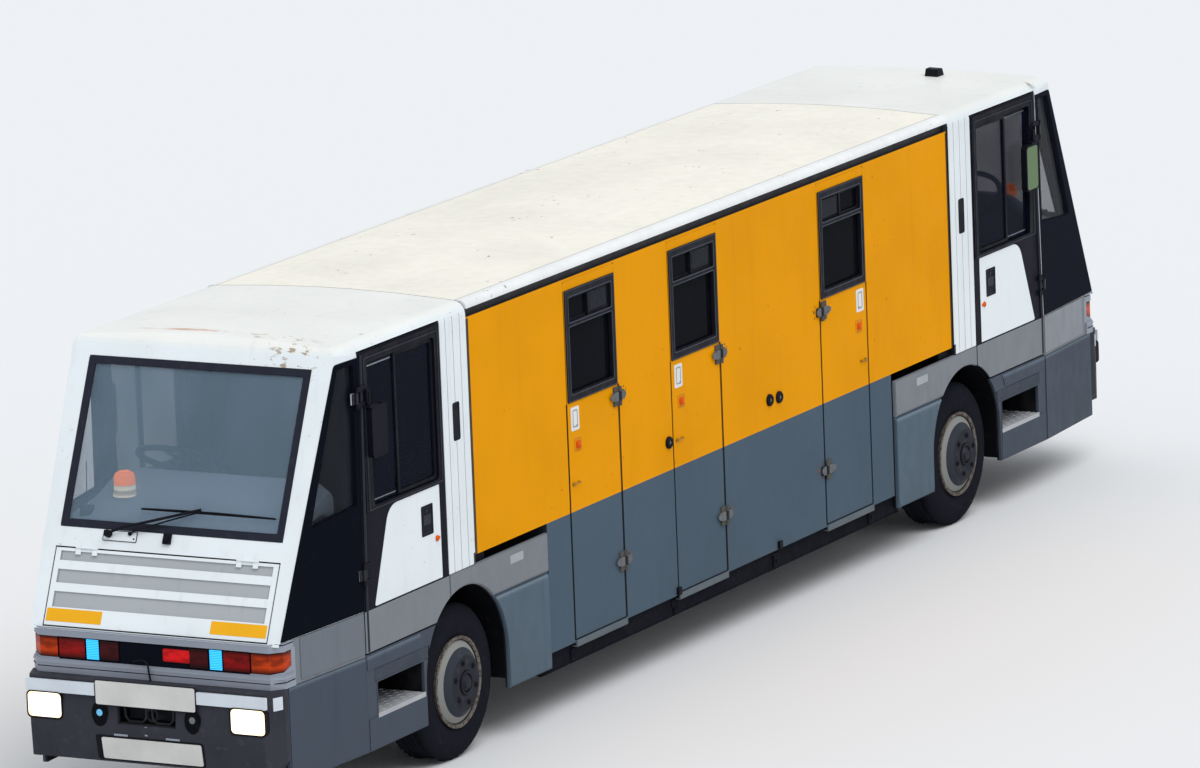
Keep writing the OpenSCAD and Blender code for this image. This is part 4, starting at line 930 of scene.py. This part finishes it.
# Lamp strip: one lens after another from the middle to the corner, its trims, and the rod below it
for colour, material, near, far in (("red", mat_red, 362, 498), ("blue", mat_blue_lit, 290, 354),
                                    ("dark_red", mat_dark_red, 184, 282)):
    lenses = Shape()
    for way in (-1, 1):
        lenses.block((NOSE_X + 4, way * near, LAMP_Z + 8), (NOSE_X + 11.5, way * far, LAMP_Z + LAMP_H - 6))
    piece("lenses_" + colour, lenses, material, 3, ENDS)
orange = [(4295.5, 506, 771, 861), (4295.5, 560, 771, 861), (4294, 597, 772, 861), (4274, 622, 774, 862),
          (4253, 646.5, 778, 863), (4225, 650, 785, 864), (4192, 652, 797, 865)]
piece("lenses_orange", Shape().wrap(orange, 7), mat_orange, 1.5, CORNERS)
surrounds = Shape().wrap([(4190, 654.4, 760, 872), (4160, 656.4, 756, 876)], 9)
surrounds.wrap([(4300, 500, 866, 872), (4299.5, 601, 866, 872), (4251, 652.6, 867, 873),
                (4186, 655.4, 868, 874)], 9)
surrounds.wrap([(4300, 500, 758, 768), (4299.5, 601, 758, 768), (4251, 652.6, 759, 774),
                (4186, 655.4, 761, 796)], 9)
piece("lamp_surrounds", surrounds, mat_trim, 1, CORNERS)
edges = Shape().wrap([(4300.8, 0, 900, 907), (4300.8, 601.6, 900, 907), (4251.6, 653.6, 902, 908),
                      (4176, 657.6, 903, 909)], 4)
edges.wrap([(4308.8, 0, 742, 752), (4308.8, 608, 742, 752), (4256, 662, 744, 754),
            (4180, 665.4, 746, 756)], 4)
piece("trim_edges", edges, mat_trim_light, 1.5, CORNERS)
seam = [(4308.4, 0, 726, 730), (4308.4, 607.6, 726, 730), (4255.6, 661.6, 728, 732), (4180, 665, 730, 734)]
piece("trim_seams", Shape().wrap(seam, 2), mat_black, 0, CORNERS)
lit = Shape().plate(rectangle(48, 790, 186, 850, 8), NOSE_X + 2, NOSE_X + 12, FRONT)
piece("lens_red_lit", lit, mat_red_lit, 3, ENDS)
ribs = Shape()
for y in (-190, 186):
    ribs.block((NOSE_X + 2, y, 772), (NOSE_X + 10, y + 4, 860))
piece("lamp_strip_ribs", ribs, mat_trim, 0.6, ENDS)
rod = Shape().tube([(4314, -100, 782), (4318, -62, 792), (4320, -34, 790), (4320, -20, 776), (4320, -8, 700),
                    (BUMPER_X - 30, -6, 694)], 4.5, 8)
piece("bumper_rods", rod, mat_black, 0, ENDS)

# Bumper: strips, headlamps, driving lamps, towing eye, blank plates and reflectors
strips = Shape()
heads = Shape()
bezels = Shape()
rings = Shape()
for way in (-1, 1):
    strips.plate(rectangle(way * 266, 628, way * 626, 684, 4), -16, -2, BUMPER)
    a, b = sorted((way * 444, way * 618))
    heads.plate(rectangle(a, 511, b, 624, 20), -34, 0.5, BUMPER)
    bezels.plate([rectangle(a - 7, 503, b + 5, 630, 22), rectangle(a - 0.5, 510.5, b + 0.5, 624.5, 20)],
                 -40, 1.6, BUMPER)
    rings.plate([(way * 242 + 40 * math.cos(t), 548 + 58 * math.sin(t)) for t in around(32)], -1, 1, BUMPER)
    rings.lathe([(30, -30), (41, -30), (41, -4), (36, 2), (31, 0)], BUMPER @ shift(way * 242, 553, 0), 28)
piece("bumper_strips", strips, mat_reflector, 1, ENDS)
piece("headlamp_glasses", heads, mat_head_lit, 4, ENDS)
piece("headlamp_bezels", bezels, mat_black, 2, ENDS)
for kind, y, material in (("bright", -242, mat_fog), ("dull", 242, mat_dull_lamp)):
    lamp = Shape().lathe([(0.01, -20), (30, -20), (29, 0), (0.01, 2.2)], BUMPER @ shift(y, 553, 0), 24)
    piece("driving_lamps_" + kind, lamp, material, 0, ENDS)
piece("driving_lamp_rings", rings, mat_rubber, 0, ENDS)
towing = Shape().block((-152, 504, -44), (152, 509, -26), BUMPER)
for a, b in ((-128, -14), (14, 128)):
    towing.tube([(a, 582, -34), (a + 4, 536, -34), (a + 22, 516, -34), (b - 22, 516, -34), (b - 4, 536, -34),
                 (b, 582, -34)], 6, 8, BUMPER)
piece("tow_guards", towing, mat_steel, 0, ENDS)
LOWER = shift(BUMPER_X - 26, 0, 320) @ Matrix.Rotation(math.atan(26 / 160), 4, "Y") @ FRONT
plates = Shape().plate(rectangle(-258, 592, 262, 702, 9), -4, 2, BUMPER)
plates.plate(rectangle(-240, 20, 280, 122, 9), 1, 5, LOWER)
piece("blank_plates", plates, mat_plate, 1.5, ENDS)
rims = Shape().plate(hollow(-261, 589, 265, 705, 3, 10, 9), -4, 2.6, BUMPER)
rims.plate(rectangle(-272, 12, 292, 132, 14), 0, 1.4, LOWER)
piece("plate_rims", rims, mat_black, 0.5, ENDS)
tabs = Shape().block((-12, 460, -12), (4, 504, -2), BUMPER)
for a in (-132, 139):
    tabs.block((a - 41, 133, 0), (a + 32, 143, 4), LOWER)
piece("plate_lamps", tabs, mat_trim_light, 2, ENDS)
corner = shift(BUMPER_X - 82, 642, 0) @ Matrix.Rotation(math.atan2(120, 50), 4, "Z") @ FRONT
squares = Shape().plate(rectangle(-27, 612, 27, 672, 3), 0, 3, corner)
piece("corner_reflectors", squares, mat_reflector, 0.6, CORNERS)

# Wheels: tyres with ribs and grooves, drums, pale rings and bolts. Half the tyre's section runs from its
# middle to its bead, each point (across, outwards from the tread); the shoulder ribs are notched.
TYRE_MIDDLE_Y = 526
RIBS = [(4, -6), (9, -15), (15, -15), (20, -6), (28, -6)]
SHOULDER = [(34, -15), (40, -15), (46, -6), (62, 0), (73, 0)]
SIDEWALL = [(89, -16), (102, -40), (110, -66), (111, -92), (110, -110), (107, -124), (105, -138), (99, -152),
            (97, -160), (94, -166)]
NOTCHES = 48
NOTCH_DEPTH = 7
rings = []
for k, t in enumerate(around(3 * NOTCHES)):
    cut = NOTCH_DEPTH if k % 3 == 0 else 0
    half = RIBS + [(y, r - cut if r > -15 else r) for y, r in SHOULDER] + SIDEWALL
    section = [(-y, TYRE_R + r) for y, r in reversed(half)] + [(y, TYRE_R + r) for y, r in half]
    rings.append([(r * math.cos(t), r * math.sin(t), TYRE_MIDDLE_Y + y) for y, r in section])
tyre = Shape().loft(rings, True, WHEEL)
bolts = Shape().lathe([(44, 676), (56, 676), (56, 682), (50, 685), (44, 682)], WHEEL)
for k in range(6):
    a, b = 98 * math.cos(k * math.pi / 3 + 0.3), 98 * math.sin(k * math.pi / 3 + 0.3)
    bolts.plate(circle(a, b, 14, 6), 676, 685, WHEEL).plate(circle(a, b, 8, 10), 684, 690, WHEEL)
drum = Shape().lathe([(0.01, 636), (164, 636), (164, 648), (136, 673), (128, 678), (60, 678), (56, 674),
                      (46, 674), (40, 678), (28, 687), (26, 692), (0.01, 694)], WHEEL, 64)
ring = Shape().lathe([(212, 606), (214, 618), (208, 625), (199, 627), (164, 649), (158, 646), (158, 638),
                      (198, 606)], WHEEL, 64)
for name, place in CORNER_NAMES.items():
    wheel = "wheel_" + name
    made = piece("road_tyre_" + name, tyre, mat_tyre, 0, [place], smooth=40, body=wheel)
    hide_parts("tyre_" + name)
    piece("wheel_bolts_" + name, bolts, mat_hub, 1.5, [place], body=wheel)
    piece("wheel_drum_" + name, drum, mat_drum, 2, [place], body=wheel)
    piece("wheel_ring_" + name, ring, mat_rim, 1, [place], body=wheel)

# Arch liners
reach = ARCH_R + 1
inner = [(-reach, 300 - ARCH_Z)]
inner += [(reach * math.cos(t), reach * math.sin(t)) for t in (math.pi * (1 - k / 24) for k in range(25))]
inner += [(reach, 270 - ARCH_Z)]
wider = 1 + 7 / ARCH_R
outer = [(a * wider, b * wider if b > 0 else b) for a, b in reversed(inner)]
piece("arch_liners", Shape().plate(inner + outer, 430, 667, ARCH), mat_rubber, 0, CORNERS)

# Wipers, with a plate each behind their pivots
plate_edges = Shape().plate(hollow(-349, 408, -172, 457, 3, 4, 3), 0, 3.4, NOSE)
piece("wiper_plate_edges", plate_edges, mat_black, 0.5, ENDS)
wiper_plate = Shape().plate(rectangle(-347, 410, -174, 455, 3), 0, 3, NOSE)
piece("wiper_plates", wiper_plate, mat_white, 0.5, ENDS)
BLADE_START = -165
BLADE_END = 531
wiper = Shape().block((BLADE_START - 4, 560, 8), (BLADE_END, 567, 13), NOSE)
for a, b, radius, high in ((-318, 438, 17, 27), (-209, 446, 9, 10), (-186, 424, 4, 5)):
    wiper.plate(circle(a, b, radius), 2, high, NOSE)
wiper.tube([(-318, 438, 24), (-240, 470, 28), (0, 535, 28), (146, 578, 22)], 6.5, place=NOSE)
wiper.tube([(-209, 446, 8), (-170, 463, 20), (0, 520, 24), (150, 570, 20)], 4, place=NOSE)
for low, high in ((BLADE_START, BLADE_END), (-60, 420), (60, 300)):
    bow = []
    for k in range(9):
        a = low + (high - low) * k / 8
        bend = math.sin(math.pi * (a - BLADE_START) / (BLADE_END - BLADE_START))
        bow.append((a, 565 + 4 * bend, 13 + 7 * math.sin(math.pi * k / 8)))
    wiper.tube(bow, 3.4, place=NOSE)
made = piece("wiper_sets", wiper, mat_black, 0, ENDS)
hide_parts("wipers")

# Dashboard tops, beacons and aerials
DASH_PROFILE = [(4020, 1318, 1328), (3990, 1334, 1350), (3900, 1364, 1406), (3800, 1380, 1470),
                (3740, 1388, 1512), (3705, 1392, 1530), (3670, 1390, 1524), (3650, 1370, 1490),
                (3650, 1330, 1330)]
DASH_LIFT = [(-596, 0.0), (-570, 0.25), (-530, 0.62), (-480, 0.88), (-420, 1.0), (0, 1.0), (420, 1.0),
             (540, 0.9), (596, 0.6)]
rings = [[(x, y, low + lift * (high - low)) for x, low, high in DASH_PROFILE] for y, lift in DASH_LIFT]
piece("dash_covers", Shape().loft(rings), mat_dash, 4, ENDS, 3, 50)
BEACON = shift(3850, -380, 0)
base = Shape().lathe([(0.01, 1432), (56, 1432), (56, 1446), (51, 1450), (50, 1486), (0.01, 1486)], BEACON)
piece("beacon_bases", base, mat_beacon_base_glow, 2, ENDS)
lamp = Shape().lathe([(0.01, 1487), (49, 1487), (49, 1520), (43, 1536), (28, 1545), (0.01, 1548)], BEACON)
piece("beacon_lamps", lamp, mat_beacon, 1, ENDS)
aerial = Shape().block((3932, -550, 1350), (3972, -496, 1398))
aerial.tube([(3950, -524, 1396), (3934, -527, 1598)], 2.6, 6)
piece("aerials", aerial, mat_black, 1, ENDS)


# Seats and benches: padded cushions with sewn channels, on their bases
def cushion(name, low, high, crown, place, channels):
    """A crowned pad between two corners of its own frame, with channels sewn across its upper face."""
    bm = bmesh.new()
    bmesh.ops.create_cube(bm, size=2)
    bmesh.ops.subdivide_edges(bm, edges=bm.edges, cuts=22, use_grid_fill=True)
    roundness = 7.0
    for v in bm.verts:
        u = v.co.copy()
        u /= sum(abs(c) ** roundness for c in u) ** (1 / roundness)
        side = (1 - min(1, abs(u.x)) ** 4) * (1 - min(1, abs(u.y)) ** 4)
        rise = u.z * (1 - crown * (1 - side))
        waist = 1 - 0.025 * (1 - min(1, abs(u.z)) ** 2)
        if u.z > 0.3:
            for k in range(channels):
                at = -1 + 2 * (k + 1) / (channels + 1)
                rise -= 0.16 * math.exp(-((u.x - at) / 0.035) ** 2) * (1 - abs(u.y) ** 6)
        v.co = [l + (h - l) * (c + 1) / 2 for l, h, c in zip(low, high, (u.x * waist, u.y * waist, rise))]
    bmesh.ops.transform(bm, matrix=Matrix.Scale(0.001, 4) @ place, verts=bm.verts)
    obj = put_smooth(name, bm, mat_seat)
    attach(obj, "body")


def back_rest(foot, lean):
    """The frame of a back rest that leans back from its foot. Its first direction runs down."""
    return shift(*foot) @ Matrix.Rotation(-lean - math.pi / 2, 4, "Y") @ TURN


PLATFORM_Z = ARCH_Z + ARCH_R + 60
SEAT_X = WHEEL_X + ARCH_R + 14 - 136
SEAT_Y = 310
stands = Shape()
for y in (-SEAT_Y, SEAT_Y):
    stands.block((SEAT_X - 150, y - 150, PLATFORM_Z), (SEAT_X + 150, y + 150, PLATFORM_Z + 176))
stand = piece("seat_stands", stands, mat_black, 8, ENDS)
for end, turned in (("front", HERE), ("rear", TURN)):
    for side, y in (("right", -SEAT_Y), ("left", SEAT_Y)):
        at = turned @ shift(SEAT_X, y, PLATFORM_Z)
        cushion("seat_cushion_%s_%s" % (end, side), (-228, -223, 180), (248, 223, 288), 0.22, at, 3)
        at = at @ back_rest((-190, 0, 296), math.atan(80 / 590))
        cushion("seat_back_%s_%s" % (end, side), (-584, -218, -38), (0, 218, 38), 0.3, at, 3)
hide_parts("cab_seats")

BENCHES = [("middle_front", 590, 1, 373), ("middle_rear", -590, -1, 373),
           ("deck_front", POD_HALF_L - 150, -1, 987), ("deck_rear", 150 - POD_HALF_L, 1, 987)]
plinths = Shape()
for name, x, way, z in BENCHES:
    at = shift(x, 0, z) @ Matrix.Scale(way, 4, (1, 0, 0))
    plinths.block((20, -505, 0), (385, 505, 300), at)
    for k, y in enumerate((-346, 0, 346)):
        cushion("bench_seat_%s_%d" % (name, k), (76, y - 168, 302), (432, y + 168, 410), 0.25, at, 2)
        back = at @ back_rest((46, y, 404), math.atan(80 / 520))
        cushion("bench_back_%s_%d" % (name, k), (-520, -166, -38), (0, 166, 38), 0.3, back, 2)
plinth = piece("bench_plinths", plinths, mat_black, 4)
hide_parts("pod_benches")

# Camera, as the photograph was taken
eye = Vector((39.332, 21.309, 10.2567))
forward = Vector((-0.86189, -0.46678, -0.19813)).normalized()
right = Vector((-0.46905, 0.88234, -0.03828))
right = (right - forward * right.dot(forward)).normalized()
camera_data = bpy.data.cameras.new("camera")
camera_data.lens = 280.41
camera_data.sensor_width = 36
camera_data.sensor_fit = "HORIZONTAL"
camera_data.clip_start = 1
camera_data.clip_end = 300
camera = put("camera", camera_data)
camera.matrix_world = Matrix.Translation(eye) @ plane(right, right.cross(forward), -forward)
bpy.context.scene.camera = camera

# Floor, sky and a soft sun
floor_mesh = bpy.data.meshes.new("floor")
floor_mesh.from_pydata([(-120, -120, 0), (120, -120, 0), (120, 120, 0), (-120, 120, 0)], [], [(0, 1, 2, 3)])
floor = put("floor", floor_mesh)
ground = Surface("floor", 0.9)
ground.set("Base Color", srgb(226, 227, 228))
floor_mesh.materials.append(ground.material)

world = bpy.data.worlds.new("sky")
bpy.context.scene.world = world
world.use_nodes = True
background = world.node_tree.nodes["Background"]
background.inputs["Color"].default_value = (0.93, 0.96, 1.0, 1)
background.inputs["Strength"].default_value = 0.75

sun_data = bpy.data.lights.new("soft_sun", "SUN")
sun_data.energy = 1.6
sun_data.angle = math.radians(40)
sun = put("soft_sun", sun_data)
sun.rotation_euler = Vector((0.35, 0.55, 1.0)).to_track_quat("Z", "Y").to_euler()

bpy.context.scene.view_settings.view_transform = "Standard"
